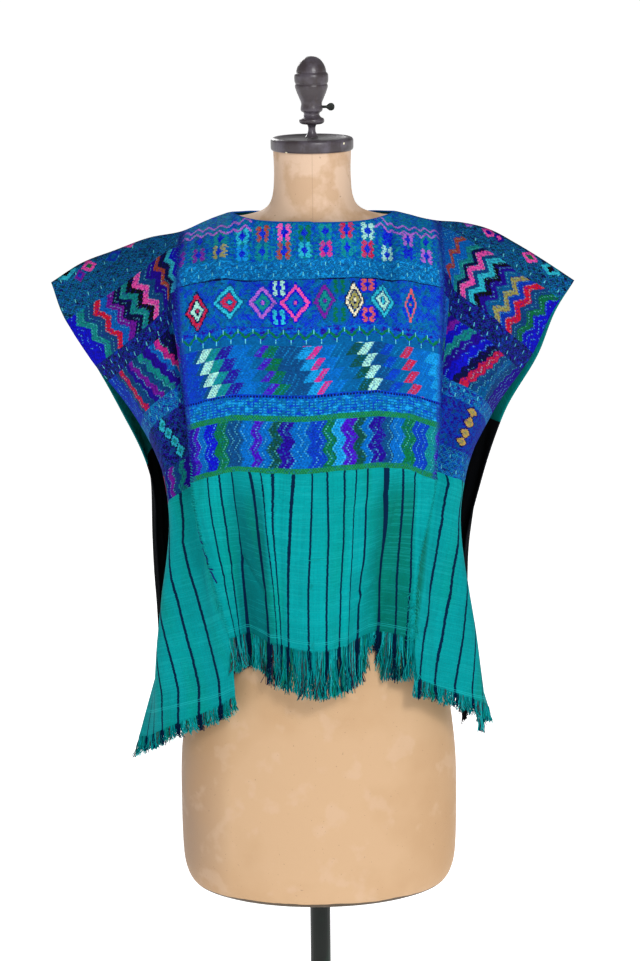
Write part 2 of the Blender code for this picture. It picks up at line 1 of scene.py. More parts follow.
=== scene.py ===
"""A brocaded huipil poncho on a limbless dress form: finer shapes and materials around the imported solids.

Units are metres. +Z is up and -Y is the front. The cloth is worked out from the same tables as the solids,
with creases, seams and fringe added. A place on the cloth is (u, v): u runs across the garment from its
middle, and v is the woven depth below the top of the brocade's pattern.
"""
import math
from collections import namedtuple

import bpy
import numpy as np
from mathutils import Matrix, Vector

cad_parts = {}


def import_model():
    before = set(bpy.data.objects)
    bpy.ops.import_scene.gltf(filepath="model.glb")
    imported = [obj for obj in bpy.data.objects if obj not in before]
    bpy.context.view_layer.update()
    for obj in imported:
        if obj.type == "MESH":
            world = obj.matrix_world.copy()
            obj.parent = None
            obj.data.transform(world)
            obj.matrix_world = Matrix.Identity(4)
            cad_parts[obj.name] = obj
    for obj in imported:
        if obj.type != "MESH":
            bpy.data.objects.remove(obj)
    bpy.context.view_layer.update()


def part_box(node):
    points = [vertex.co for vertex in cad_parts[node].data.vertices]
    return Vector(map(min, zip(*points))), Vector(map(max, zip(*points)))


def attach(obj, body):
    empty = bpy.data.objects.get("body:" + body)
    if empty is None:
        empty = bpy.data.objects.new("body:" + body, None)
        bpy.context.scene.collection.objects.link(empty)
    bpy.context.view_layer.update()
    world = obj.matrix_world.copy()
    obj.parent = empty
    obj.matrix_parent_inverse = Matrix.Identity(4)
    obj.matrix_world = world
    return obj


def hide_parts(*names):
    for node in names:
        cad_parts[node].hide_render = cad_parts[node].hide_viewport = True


# Cloth, as in the solids
CLOTH = 0.0018           # thickness of the wall
BROCADE = 0.335          # woven depth of the brocade's lower edge
CENTRE_WIDTH = 0.370
SIDE_WIDTH = 0.190
NECK_HALF = 0.107        # half width of the neck slit
FRONT_NECK_Y = -0.062
BACK_NECK_Y = 0.058
NECK_SAG = 0.006
SLIT_SHAPE = 4           # the higher, the squarer the slit's ends
SLIT_SETTLE = 0.070      # the slit's shape has gone so far down the cloth
LEAST_FALL = 0.12        # of a step down the cloth, however far the cloth spreads
SEAM_U = CENTRE_WIDTH * 500      # u of the right seam in millimetres, and of the left one with a minus
BROCADE_V = BROCADE * 1000

# The three lengths: their first and last place across, with the seams at -1 and 1, and their woven size
Length = namedtuple("Length", "side first last wide long")
LENGTHS = (
    Length("left", -2, -1, SIDE_WIDTH, 0.650),
    Length("centre", -1, 1, CENTRE_WIDTH, 0.573),
    Length("right", 1, 2, SIDE_WIDTH, 0.638),
)

# Fineness of the sampled surface, and of the shell that is made from it
CENTRE_CELLS = 96
SIDE_CELLS = 48
STEP = 0.0025
REACH = 0.75
ROW = 0.0038

# Width and depth of a stitch and of a thread, in millimetres
BROCADE_STITCH = (2.0, 1.35)
PLAIN_STEP = (0.9, 0.9)
PLAIN_THREAD = (1.1, 0.9)


def in_metres(kind, rows):
    """Named rows of a table from rows of millimetres."""
    return [kind(*(None if value is None else value / 1000 for value in row)) for row in rows]


# Sections of a side length, as in the solids
Side = namedtuple("Side", "down seam_x seam_y dip crest_x crest_y edge_x edge_y")
LEFT_FRONT = in_metres(Side, [
    (0, 168, 0, 0, 273, 0, 343, 0),
    (50, 174, -42, 4, 266, -36, 325, -18),
    (110, 176, -78, 10, 250, -62, 294, -24),
    (200, 170, -98, 20, 222, -72, 242, -16),
    (300, 162, -106, 26, 197, -62, 202, 4),
    (380, 156, -110, 24, 190, -52, 188, 16),
    (470, 137, -117, 14, 201, -50, 187, 20),
    (570, 113, -122, 6, 208, -62, 213, 4),
    (680, 106, -124, 2, 200, -86, 243, -22),
])
RIGHT_FRONT = in_metres(Side, [
    (0, 161, 0, 0, 270, 0, 341, 0),
    (50, 165, -42, 4, 256, -36, 312, -18),
    (110, 167, -78, 10, 244, -62, 286, -24),
    (200, 163, -98, 20, 220, -72, 237, -16),
    (300, 160, -106, 26, 195, -62, 198, 4),
    (380, 152, -110, 24, 188, -52, 183, 16),
    (470, 132, -117, 14, 197, -52, 184, 20),
    (570, 126, -122, 6, 210, -64, 211, 4),
    (680, 128, -124, 2, 214, -86, 242, -22),
])
LEFT_BACK = LEFT_FRONT[:1] + in_metres(Side, [
    (50, 170, 45, 0, 264, 30, 330, 14),
    (110, 174, 80, 0, 252, 55, 299, 20),
    (200, 172, 105, 4, 234, 68, 257, 22),
    (300, 165, 118, 10, 218, 72, 220, 32),
    (400, 160, 126, 14, 214, 74, 216, 44),
    (500, 155, 132, 12, 212, 78, 212, 50),
    (600, 148, 138, 8, 210, 82, 207, 52),
    (700, 144, 142, 6, 208, 84, 203, 54),
])
RIGHT_BACK = RIGHT_FRONT[:1] + in_metres(Side, [
    (50, 168, 45, 0, 258, 30, 318, 14),
    (110, 172, 80, 0, 248, 56, 297, 20),
    (200, 170, 105, 6, 228, 70, 253, 24),
    (300, 163, 118, 14, 212, 74, 222, 30),
    (400, 157, 126, 18, 201, 76, 201, 42),
    (500, 152, 132, 14, 200, 80, 196, 48),
    (600, 147, 138, 8, 204, 82, 198, 52),
    (700, 144, 142, 6, 206, 84, 200, 54),
])

# Sections of the centre length, as in the solids
Middle = namedtuple("Middle", "down roll_y left_x left_y right_x right_y")
CENTRE_FRONT = in_metres(Middle, [
    (0, -66, 105, -2, 105, -2),
    (50, -88, 108, -48, 106, -48),
    (110, -117, 110, -92, 108, -92),
    (200, -140, 110, -125, 108, -125),
    (300, -147, 110, -132, 108, -132),
    (400, -150, 108, -126, 106, -126),
    (500, -155, 98, -114, 88, -114),
    (600, -162, 90, -105, 78, -105),
])
CENTRE_BACK = in_metres(Middle, [
    (0, 60, 105, 2, 105, 2),
    (50, 84, 108, 52, 106, 52),
    (110, 106, 110, 93, 108, 93),
    (200, 122, 110, 114, 108, 114),
    (300, 132, 110, 124, 108, 124),
    (400, 138, 106, 124, 106, 124),
    (500, 146, 100, 122, 100, 122),
    (600, 154, 96, 122, 96, 122),
])
SEAM_TO_DIP = 0.36
DIP_SHIFT = 0.3
SIDE_KNOTS = (0.0, 0.24, 0.62, 1.0)
CENTRE_KNOTS = (-1.0, -0.62, 0.0, 0.62, 1.0)

# The shoulder fold's height out from the neck's corner, as in the solids
Fold = namedtuple("Fold", "x z")
LEFT_FOLD = in_metres(Fold, [
    (107, 1323.5),
    (138, 1313),
    (168, 1300),
    (214, 1291),
    (259, 1275),
    (304, 1258),
    (343, 1233.5),
])
RIGHT_FOLD = in_metres(Fold, [
    (107, 1322.5),
    (159, 1310),
    (195, 1306.6),
    (231, 1297),
    (264, 1279),
    (294, 1260.5),
    (341, 1229),
])

# The height of the brocade's lower edge, as in the solids
Level = namedtuple("Level", "across front back")
BROCADE_LEVEL = [
    Level(-2.0, 0.9440, 0.9830),
    Level(-1.6, 0.9750, 1.0060),
    Level(-1.0, 1.0130, 1.0190),
    Level(0.0, 1.0105, 1.0080),
    Level(1.0, 1.0130, 1.0210),
    Level(1.6, 0.9750, 1.0380),
    Level(2.0, 0.9440, 1.0370),
]

# The dress form's rings, as in the solids. Those with no side height of their own lie just under the fold.
Ring = namedtuple("Ring", "side_z front_z half_width half_depth bust")
SHOULDER_REST = 0.0015   # space under the cloth, more than in the solids because this form is finer
SHOULDER_ROUND = 1.1     # near 1 the shoulders are a soft ridge, and at 2 they are round
FORM_RINGS = in_metres(Ring, [
    (1403.5, 1403.5, 50.5, 48, 0),
    (1372, 1370, 49.8, 47.8, 0),
    (1344, 1340, 52.5, 49, 0),
    (1329, 1320, 62, 50.5, 0),
    (1321, 1298, 85, 56, 0),
    (None, 1270, 120, 64, 0),
    (None, 1235, 150, 78, 2),
    (1280, 1200, 168, 97, 6),
    (1215, 1165, 174, 112, 10),
    (1135, 1120, 167, 117, 12),
    (1060, 1055, 154, 110, 7),
    (980, 980, 139, 101, 2),
    (890, 890, 130, 95, 0),
    (800, 800, 146, 103, 0),
    (700, 700, 171, 115, 0),
    (600, 600, 185, 124, 0),
    (520, 520, 187, 126, 0),
    (456, 456, 185.8, 125.2, 0),
    (428, 428, 181.5, 122, 0),
    (411, 411, 172.5, 116, 0),
    (404.5, 404.5, 160, 106.5, 0),
])
BUST_ANGLE = math.radians(57)
BUST_SPREAD = math.radians(24)
FORM_SIDES = 120
RINGS_BETWEEN = 5

# Fringe: how many strands, their length at places across the cloth, how uneven, and their radius
Fringe = namedtuple("Fringe", "strands lengths uneven radius")
FRINGES = {
    "left": Fringe(620, ((-375, 27), (-362, 17), (-280, 15), (-185, 18)), 4.0, 0.62),
    "centre": Fringe(
        1300,
        ((-185, 42), (-76, 44), (-66, 55), (0, 60), (80, 62), (94, 48), (104, 12), (113, 12), (124, 50),
         (132, 62), (160, 58), (185, 50)),
        4.0, 0.72,
    ),
    "right": Fringe(
        620, ((185, 24), (215, 17), (300, 17), (306, 36), (314, 36), (320, 18), (375, 17)), 4.0, 0.62,
    ),
}
CLUMP = 6                # neighbouring strands that hang together
STATIONS = 8             # points down a strand
CLUMP_UNEVEN = 0.8       # how much of the unevenness goes by clumps
STRAND_UNEVEN = 0.35     # and by single strands
SHORTEST = 0.4           # of a place's own length
ROOT = 0.002             # how far strands reach up into the hem
PULL = 0.35              # how much strands turn from the cloth's own fall to straight down
SWING = 0.0019           # how far strands wave from side to side
STAND_OFF = 0.0007       # how far they lie in front of one another
GATHER = 0.5             # of the way to the middle of their clump
LEAN_ASIDE = (0.08, 0.05)    # of their length, by clumps and by single strands
LEAN_OUT = (0.05, 0.04)

# The seams' relief in millimetres: a valley in the brocade, a ridge below it, and puckers to both sides
SEAM_VALLEY = -1.3
SEAM_RISE = 3.0
SEAM_WIDE = 3.4
SEAM_TURNS_IN = 25       # from valley to ridge
PUCKER = 0.5
PUCKER_WIDE = 11.0

# How far the front hems hang below the woven length, at the seam and at the outer edge
HEM_DROP = {"left": (0.000, 0.026), "centre": (0.0, 0.0), "right": (-0.014, 0.002)}

# The plain cloth's warp stripes: each one's width, and where it lies across the cloth at the woven depths
STRIPE_DEPTHS = (345, 420, 495, 560, 620)
Stripe = namedtuple("Stripe", "wide at")
STRIPES = {
    "left": [
        Stripe(2.6, (-384, -376, -368, -360, -352)),
        Stripe(2.8, (-366, -356, -346, -338, -330)),
        Stripe(3.2, (-352, -340, -327, -315, -304)),
        Stripe(3.7, (-336, -322, -305, -290, -276)),
        Stripe(3.9, (-300, -282, -266, -258, -245)),
        Stripe(4.2, (-260, -256, -236, -226, -213)),
    ],
    "centre": [
        Stripe(2.4, (-178, -178, -176, -176, -176)),
        Stripe(2.5, (-157, -155, -158, -162, -162)),
        Stripe(7.5, (-128, -129, -135, -139, -139)),
        Stripe(4.8, (-91, -81, -75, -72, -72)),
        Stripe(1.3, (-74, -66, -60, -60, -60)),
        Stripe(1.8, (-56, -58, -55, -54, -54)),
        Stripe(3.2, (-27, -33, -38, -40, -40)),
        Stripe(2.8, (-4, -7, -11, -11, -11)),
        Stripe(2.8, (15, 16, 13, 12, 12)),
        Stripe(2.5, (37, 37, 33, 33, 33)),
        Stripe(1.9, (53, 49, 46, 46, 46)),
        Stripe(4.6, (68, 67, 66, 69, 69)),
        Stripe(9.5, (92, 99, 111, 127, 127)),
        Stripe(3.1, (140, 146, 151, 158, 158)),
        Stripe(2.7, (160, 164, 173, 176, 176)),
    ],
    "right": [
        Stripe(3.2, (256, 241, 225, 206, 196)),
        Stripe(3.7, (295, 276, 257, 237, 220)),
        Stripe(3.6, (322, 305, 287, 268, 250)),
        Stripe(3.2, (342, 325, 308, 294, 280)),
        Stripe(2.4, (358, 345, 332, 318, 305)),
        Stripe(2.2, (374, 364, 353, 341, 330)),
    ],
}

# The finial: radius and height over its foot, as in the solid
FINIAL = [
    (0.0002, 0.1035), (0.0060, 0.1026), (0.0120, 0.0990), (0.0165, 0.0930), (0.0192, 0.0855),
    (0.0196, 0.0832), (0.0212, 0.0812), (0.0220, 0.0745), (0.0214, 0.0700), (0.0205, 0.0684),
    (0.0212, 0.0664), (0.0196, 0.0590), (0.0160, 0.0500), (0.0136, 0.0440), (0.0134, 0.0330),
    (0.0110, 0.0315), (0.0100, 0.0290), (0.0120, 0.0255), (0.0158, 0.0232), (0.0160, 0.0190),
    (0.0140, 0.0172), (0.0064, 0.0160), (0.0060, 0.0040), (0.0090, 0.0000),
]

# The photograph's view
CAMERA_PLACE = (0.0058, -3.6, 1.767)
CAMERA_PITCH = math.radians(12.56)
CAMERA_ROLL = math.radians(0.6)
CAMERA_LENS = 103.92
SENSOR = 36.0

# Creases of the cloth from (u0, v0) to (u1, v1), in millimetres on the cloth. rise lifts the line, and step
# lifts its right side, seen down the line from its start, and presses the other.
Crease = namedtuple("Crease", "u0 v0 u1 v1 width rise step")
FRONT_CREASES = [
    Crease(-54, 330, -62, 620, 9, 0.5, -5.0),
    Crease(38, 380, 44, 620, 8, 0.5, 3.6),
    Crease(72, 470, 66, 620, 10, -2.4, 0.0),
    Crease(-98, 345, -116, 620, 24, -6.5, 0.0),
    Crease(92, 360, 104, 620, 22, -6.5, 0.0),
    Crease(-113, 462, -72, 505, 5, -2.4, 1.8),
    Crease(-176, 380, -160, 520, 7, 2.4, 1.0),
    Crease(104, 486, 56, 520, 6, 2.2, 1.4),
    Crease(128, 430, 104, 600, 9, 1.6, -1.0),
    Crease(-150, 300, -128, 600, 12, 2.0, 0.0),
    Crease(-104, 10, -150, 150, 14, 1.6, 1.2),
    Crease(104, 10, 152, 160, 14, 1.6, -1.2),
    Crease(-60, 100, -78, 330, 18, -1.2, 0.0),
    Crease(62, 130, 86, 330, 16, -1.2, 0.0),
    Crease(8, 90, 14, 260, 22, 0.8, 0.0),
    Crease(-196, 90, -192, 330, 8, 3.0, 0.0),
    Crease(-228, 110, -222, 340, 13, -6.0, 0.0),
    Crease(-262, 140, -246, 420, 9, 2.6, 2.0),
    Crease(-300, 180, -262, 360, 8, -2.6, 1.5),
    Crease(-210, 420, -204, 640, 14, 1.4, -1.0),
    Crease(-300, 470, -316, 650, 16, 1.5, 0.0),
    Crease(194, 90, 198, 330, 8, 3.0, 0.0),
    Crease(222, 100, 226, 340, 12, -5.5, 0.0),
    Crease(266, 130, 244, 400, 8, 2.8, -2.0),
    Crease(290, 130, 262, 330, 7, -3.0, 1.0),
    Crease(316, 170, 276, 380, 8, 2.6, -1.5),
    Crease(222, 400, 214, 630, 12, 1.6, 1.0),
    Crease(296, 460, 318, 640, 15, 1.5, 0.0),
]
BACK_CREASES = [
    Crease(-100, 10, -140, 180, 16, 1.6, 1.0),
    Crease(100, 10, 136, 170, 16, 1.6, -1.0),
    Crease(-30, 120, -52, 420, 20, 1.6, 0.0),
    Crease(58, 150, 40, 460, 18, -1.4, 0.0),
    Crease(-230, 90, -262, 340, 12, 2.0, 1.2),
    Crease(226, 90, 250, 330, 12, 2.0, -1.2),
    Crease(-40, 330, 96, 352, 7, -1.0, 0.8),
]

# The mended spot: one weft thread and two knots, as rows of (u, v, height over the cloth)
MENDS = [
    [(-12 + 3 * k, 452 - 0.3 * k, 0.3) for k in range(9)],
    [(-8 + math.sin(k * 0.9) * 2, 483 + k * 1.0, 0.5 + 0.9 * math.sin(k * 0.39)) for k in range(9)],
    [(-7 + math.sin(k * 1.1) * 1.6, 560 + k * 1.1, 0.5 + 0.8 * math.sin(k * 0.39)) for k in range(9)],
]

# Dark threads that show where the left seam was darned, also as rows of (u, v, height over the cloth)
DARNS = [
    [(-188 + 0.35 * k + math.sin(k) * 0.7, 420 + 2.6 * k, 0.5 - 0.04 * k) for k in range(9)],
    [(-186 + 0.25 * k - math.sin(k) * 0.8, 446 + 2.9 * k, 0.4) for k in range(9)],
    [(-187 + 0.9 * k, 474 + 0.4 * k, 0.3) for k in range(9)],
    [(-184 + 0.5 * k + math.sin(k) * 0.5, 478 + 2.2 * k, 0.4) for k in range(9)],
]

# One side of the garment as a sampled surface. On each warp line, start is the woven depth at the fold.
Half = namedtuple("Half", "across down points normals start join")


def smooth(knots, values, at):
    """A smooth curve through the values at the knots; values may be rows of an array."""
    knots = np.asarray(knots, float)
    values = np.asarray(values, float)
    at = np.asarray(at, float)
    slopes = np.gradient(values, knots, axis=0)
    i = np.clip(np.searchsorted(knots, at) - 1, 0, len(knots) - 2)
    width = knots[i + 1] - knots[i]
    s = (at - knots[i]) / width
    if values.ndim > 1:
        s, width = s[:, None], width[:, None]
    before = (1 + 2 * s) * (1 - s) ** 2 * values[i] + s * (1 - s) ** 2 * width * slopes[i]
    after = s ** 2 * (3 - 2 * s) * values[i + 1] - s ** 2 * (1 - s) * width * slopes[i + 1]
    return before + after


def columns(rows, at):
    """Each named column of a table, read smoothly at the given places."""
    first = [row[0] for row in rows]
    names = rows[0]._fields[1:]
    return type(rows[0])(at, *(smooth(first, [getattr(row, name) for row in rows], at) for name in names))


def unit(vectors):
    """The same directions at length one."""
    return vectors / np.linalg.norm(vectors, axis=-1, keepdims=True)


def ease(value):
    """From 0 to 1 with a soft start and end."""
    value = np.clip(value, 0, 1)
    return value * value * (3 - 2 * value)


def fold_height(x):
    """Height of the shoulder fold, and of the slit's edge between its corners."""
    rows = LEFT_FOLD if x < 0 else RIGHT_FOLD
    out = abs(x)
    if out < NECK_HALF:
        return rows[0].z - NECK_SAG * (1 - (out / NECK_HALF) ** SLIT_SHAPE)
    return float(columns(rows, np.array([out])).z[0])


def side_lines(rows, sign, across, down):
    """x and y of a side length's warp lines; across runs from 0 at the seam to 1 at the outer edge."""
    row = columns(rows, down)
    outward = np.sign(rows[-1].seam_y)
    dip_x = row.seam_x + SEAM_TO_DIP * (row.crest_x - row.seam_x) - row.dip
    dip_y = row.seam_y + SEAM_TO_DIP * (row.crest_y - row.seam_y) - outward * DIP_SHIFT * row.dip
    x = smooth(SIDE_KNOTS, np.stack([row.seam_x, dip_x, row.crest_x, row.edge_x]), across)
    y = smooth(SIDE_KNOTS, np.stack([row.seam_y, dip_y, row.crest_y, row.edge_y]), across)
    return sign * x, y


def centre_lines(rows, left, right, neck_y, across, down):
    """x and y of the centre's warp lines; across runs from -1 at the left seam to 1 at the right seam."""
    row, left, right = columns(rows, down), columns(left, down), columns(right, down)
    middle = np.zeros_like(down)
    x_knots = np.stack([-left.seam_x, -row.left_x, middle, row.right_x, right.seam_x])
    y_knots = np.stack([left.seam_y, row.left_y, row.roll_y, row.right_y, right.seam_y])
    x, y = smooth(CENTRE_KNOTS, x_knots, across), smooth(CENTRE_KNOTS, y_knots, across)
    out = np.clip(np.abs(x[:, :1]) / NECK_HALF, 0, 1)
    slit = neck_y * (1 - out ** SLIT_SHAPE)
    return x, y + (1 - ease(down / SLIT_SETTLE)) * (slit - y[:, :1])


def heights(x, y, down):
    """Heights that keep each warp line's woven length."""
    step = np.diff(down)
    left_over = step ** 2 - np.diff(x, axis=1) ** 2 - np.diff(y, axis=1) ** 2
    fall = np.sqrt(np.maximum(left_over, (LEAST_FALL * step) ** 2))
    top = np.array([fold_height(value) for value in x[:, 0]])
    return top[:, None] - np.concatenate([np.zeros((len(x), 1)), np.cumsum(fall, axis=1)], axis=1)


def brocade_reach(across, down, points, side):
    """How far from the fold each warp line comes to the height of the brocade's lower edge."""
    levels = getattr(columns(BROCADE_LEVEL, across), side)
    return np.array([np.interp(-z, -line[:, 2], down) for z, line in zip(levels, points)])


def surface_normals(points, outward):
    """Unit normals of a sampled surface, all pointing outward, along -Y or +Y on average."""
    normals = unit(np.cross(np.gradient(points, axis=0), np.gradient(points, axis=1)))
    return normals * outward * np.sign(normals[:, :, 1].mean())


def half_garment(side_name, centre, left, right, neck_y, front=None):
    """The whole front or back as one sampled surface, from the left outer edge to the right one."""
    down = np.arange(0, REACH, STEP)
    middle = np.linspace(-1, 1, CENTRE_CELLS + 1)
    side = np.linspace(0, 1, SIDE_CELLS + 1)
    parts = [
        side_lines(left, -1, side[:0:-1], down),
        centre_lines(centre, left, right, neck_y, middle, down),
        side_lines(right, 1, side[1:], down),
    ]
    x = np.concatenate([part[0] for part in parts])
    y = np.concatenate([part[1] for part in parts])
    across = np.concatenate([-1 - side[:0:-1], middle, 1 + side[1:]])
    points = np.stack([x, y, heights(x, y, down)], axis=2)
    normals = surface_normals(points, np.sign(neck_y))
    reach = brocade_reach(across, down, points, side_name)
    start = BROCADE - reach
    if front is not None:
        start = np.where(np.abs(across) > 1, front.start, start)
    return Half(across, down, points, normals, start, start + reach)


def share_fold_normals(front, back):
    """Give both halves the same normal along the shoulder fold, outside the neck slit."""
    for i in range(len(front.across)):
        if abs(front.points[i, 0, 0]) >= NECK_HALF:
            both = unit(front.normals[i, 0] + back.normals[i, 0])
            front.normals[i, 0] = back.normals[i, 0] = both


def places(half):
    """u and v of every sample of a surface, in millimetres."""
    return u_of(half.across)[:, None] * 1000, (half.start[:, None] + half.down[None, :]) * 1000


def waves(half, folds, height, begins, full):
    """Let a hanging half fall in soft upright folds, which grow with the distance from the shoulder."""
    out = np.abs(half.across)[:, None]
    turn = np.where(out > 1, (out - 1) * folds, out * folds * 0.9) * 2 * math.pi
    grow = ease((half.down[None, :] - begins) / (full - begins))
    calm = ease((2 - out) / 0.25) * ease(np.abs(out - 1) / 0.15)
    lift = height * np.sin(turn) * grow * calm
    half.points[:] = half.points + half.normals * lift[:, :, None]


def creases(half, table):
    """How far creases lift or press the surface, softly to both sides of straight lines on the cloth."""
    u, v = places(half)
    lift = np.zeros_like(v)
    for crease in table:
        run = np.array([crease.u1 - crease.u0, crease.v1 - crease.v0])
        length = np.hypot(*run)
        along = ((u - crease.u0) * run[0] + (v - crease.v0) * run[1]) / length
        aside = ((u - crease.u0) * run[1] - (v - crease.v0) * run[0]) / length / crease.width
        end = crease.width * 2.0
        fade = ease(along / end + 0.5) * ease((length - along) / end + 0.5)
        lift += (crease.rise + crease.step * aside * 1.6) * np.exp(-aside ** 2) * fade
    return lift / 1000


def unevenness(half, height):
    """Small soft waves all over a surface, calm at the shoulder where it rests."""
    u, v = places(half)
    lift = np.sin(u / 13 + np.sin(v / 31) * 1.7) * 0.45 + np.sin(u / 7.3 - v / 17 + 1.0) * 0.25
    lift = lift + np.sin(u / 23 + v / 29 + 2.0) * 0.6
    return height * lift * ease((half.down[None, :] - 0.03) / 0.12)


def seams(half):
    """The seams' lift: a narrow valley in the brocade, which turns into a ridge below it, and puckers."""
    u, v = places(half)
    from_seam = np.abs(u) - SEAM_U
    near = np.exp(-(from_seam / SEAM_WIDE) ** 2)
    wide = np.exp(-(from_seam / PUCKER_WIDE) ** 2)
    pucker = np.sin(v / 1.9 + np.sin(v / 9.0) * 1.5) * PUCKER
    raised = SEAM_VALLEY + SEAM_RISE * ease((v - BROCADE_V) / SEAM_TURNS_IN)
    return (raised * near + pucker * wide) / 1000 * ease(half.down[None, :] / 0.04)


def work_surface(half, lift):
    """Move a surface along its normals, and find its new normals."""
    half.points[:] = half.points + half.normals * lift[:, :, None]
    outward = np.sign(half.normals[:, :, 1].mean())
    half.normals[:] = surface_normals(half.points, outward)


def u_of(across):
    """Distance across the cloth from the garment's middle."""
    out = np.abs(across)
    u = np.where(out <= 1, out * CENTRE_WIDTH / 2, CENTRE_WIDTH / 2 + (out - 1) * SIDE_WIDTH)
    return np.sign(across) * u


def mesh_object(name, vertices, faces, uvs=None, bands=None):
    """A smooth mesh object. Each UV layer has a value for each vertex, and bands a material for each face."""
    mesh = bpy.data.meshes.new(name)
    mesh.from_pydata(np.asarray(vertices).tolist(), [], [tuple(map(int, face)) for face in faces])
    corners = np.empty(len(mesh.loops), int)
    mesh.loops.foreach_get("vertex_index", corners)
    for layer_name, values in (uvs or {}).items():
        layer = mesh.uv_layers.new(name=layer_name)
        layer.data.foreach_set("uv", np.asarray(values, float)[corners].ravel())
    if bands is not None:
        mesh.polygons.foreach_set("material_index", np.asarray(bands, int))
    mesh.shade_smooth()
    made = bpy.data.objects.new(name, mesh)
    bpy.context.scene.collection.objects.link(made)
    return made


def line_rows(stops, counts):
    """Distances from the fold of one warp line's rows, with even rows between the stops."""
    rows = [stops[0]]
    for above, below, count in zip(stops, stops[1:], counts):
        rows += list(above + (below - above) * np.arange(1, count + 1) / count)
    return np.array(rows)


# How much lower the pattern lies than the surface's own depth, near its top and its bottom: u, millimetres
Shift = namedtuple("Shift", "top bottom")
SHIFTS = {
    "left": Shift(
        ((-375, -14), (-356, -8), (-333, -3), (-310, 0), (-289, -2), (-273, -7), (-250, -13), (-229, -20),
         (-200, -25)),
        ((-375, 27), (-330, 20), (-260, 9), (-185, 2)),
    ),
    "centre": Shift(
        ((-185, 20), (-141, 14), (-115, 9), (-75, 4), (-25, 2), (24, 0), (58, 0), (85, 3), (108, 12),
         (152, 21), (185, 25)),
        ((-185, 20), (-141, 13), (-105, 5), (-48, 1), (-25, 0), (28, -4), (85, -1), (131, 7), (160, 16),
         (185, 20)),
    ),
    "right": Shift(
        ((185, -28), (224, -15), (251, -11), (272, -8), (291, -3), (309, 4), (327, 5), (348, 2), (374, -2)),
        ((185, 2), (250, -6), (375, -10)),
    ),
}
SHIFT_FROM, SHIFT_TO = 0.090, 0.330


def pattern_depth(half, i, shift):
    """The pattern's own depth all along one warp line."""
    depth = half.start[i] + half.down
    if shift is None:
        return depth
    u = u_of(half.across[i]) * 1000
    top, bottom = (np.interp(u, *zip(*rows)) / 1000 for rows in shift)
    share = ease((depth - SHIFT_FROM) / (SHIFT_TO - SHIFT_FROM))
    return depth - top - (bottom - top) * share


def plain_across(half, length, stripes):
    """Distance across the cloth along its surface, from the middle or from a side length's seam, moved so
    that each stripe keeps the place that it has at the hem."""
    origin = 0 if length.side == "centre" else min(length.first, length.last, key=abs)
    step = np.linalg.norm(np.diff(half.points, axis=0), axis=2)
    run = np.concatenate([np.zeros((1, len(half.down))), np.cumsum(step, axis=0)])
    run = (run - run[np.argmin(np.abs(half.across - origin))] + origin * CENTRE_WIDTH / 2) * 1000
    if not stripes:
        return run / 1000
    row = np.interp(places(half)[1], STRIPE_DEPTHS, range(len(STRIPE_DEPTHS)))
    moved = run.copy()
    for k, lies_at in enumerate(np.transpose([stripe.at for stripe in stripes])):
        shift = np.interp(run, lies_at, hem_places(stripes) - lies_at)
        moved += shift * np.clip(1 - np.abs(row - k), 0, 1)
    return moved / 1000


def hem_places(stripes):
    """Where each stripe lies at the hem, in millimetres."""
    return np.array([stripe.at[-1] for stripe in stripes])


def warp_lines(half, length):
    """The numbers of a length's own warp lines."""
    return np.flatnonzero((half.across > length.first - 0.01) & (half.across < length.last + 0.01))


def hem_line(half, length, drop):
    """Distance from the fold to the hem on each warp line."""
    out = np.clip(np.abs(half.across) - 1, 0, 1)
    return length.long - half.start + drop[0] + (drop[1] - drop[0]) * out


def read_along(at, half, values):
    """A warp line's rows of values, read at distances from the fold."""
    return np.stack([np.interp(at, half.down, column) for column in values.T], axis=1)


def rim_loop(count, rows):
    """A grid's outer points: along its first row, down its last line, back along its last row, and up."""
    loop = [k * rows for k in range(count)]
    loop += [(count - 1) * rows + k for k in range(1, rows)]
    loop += [k * rows + rows - 1 for k in range(count - 2, -1, -1)]
    return loop + list(range(rows - 2, 0, -1))


def wall_faces(grid, normals, bands):
    """The faces of a closed wall round a grid, and each face's material, the last one for the reverse."""
    count, rows = grid.shape[:2]
    i, j = np.meshgrid(np.arange(count - 1), np.arange(rows - 1), indexing="ij")
    a = (i * rows + j).ravel()
    quads = np.stack([a, a + rows, a + rows + 1, a + 1], axis=1)
    under = count * rows
    rim = rim_loop(count, rows)
    edge = [(b, a, under + a, under + b) for a, b in zip(rim, rim[1:] + rim[:1])]
    faces = [*quads, *(under + quads[:, ::-1]), *edge]
    outward = np.cross(grid[1, 0] - grid[0, 0], grid[0, 1] - grid[0, 0])
    if np.dot(outward, normals[0, 0]) < 0:
        faces = [face[::-1] for face in faces]
    reverse = [max(bands) + 1] * (len(quads) + len(edge))
    return faces, [*np.tile(bands, count - 1), *reverse]


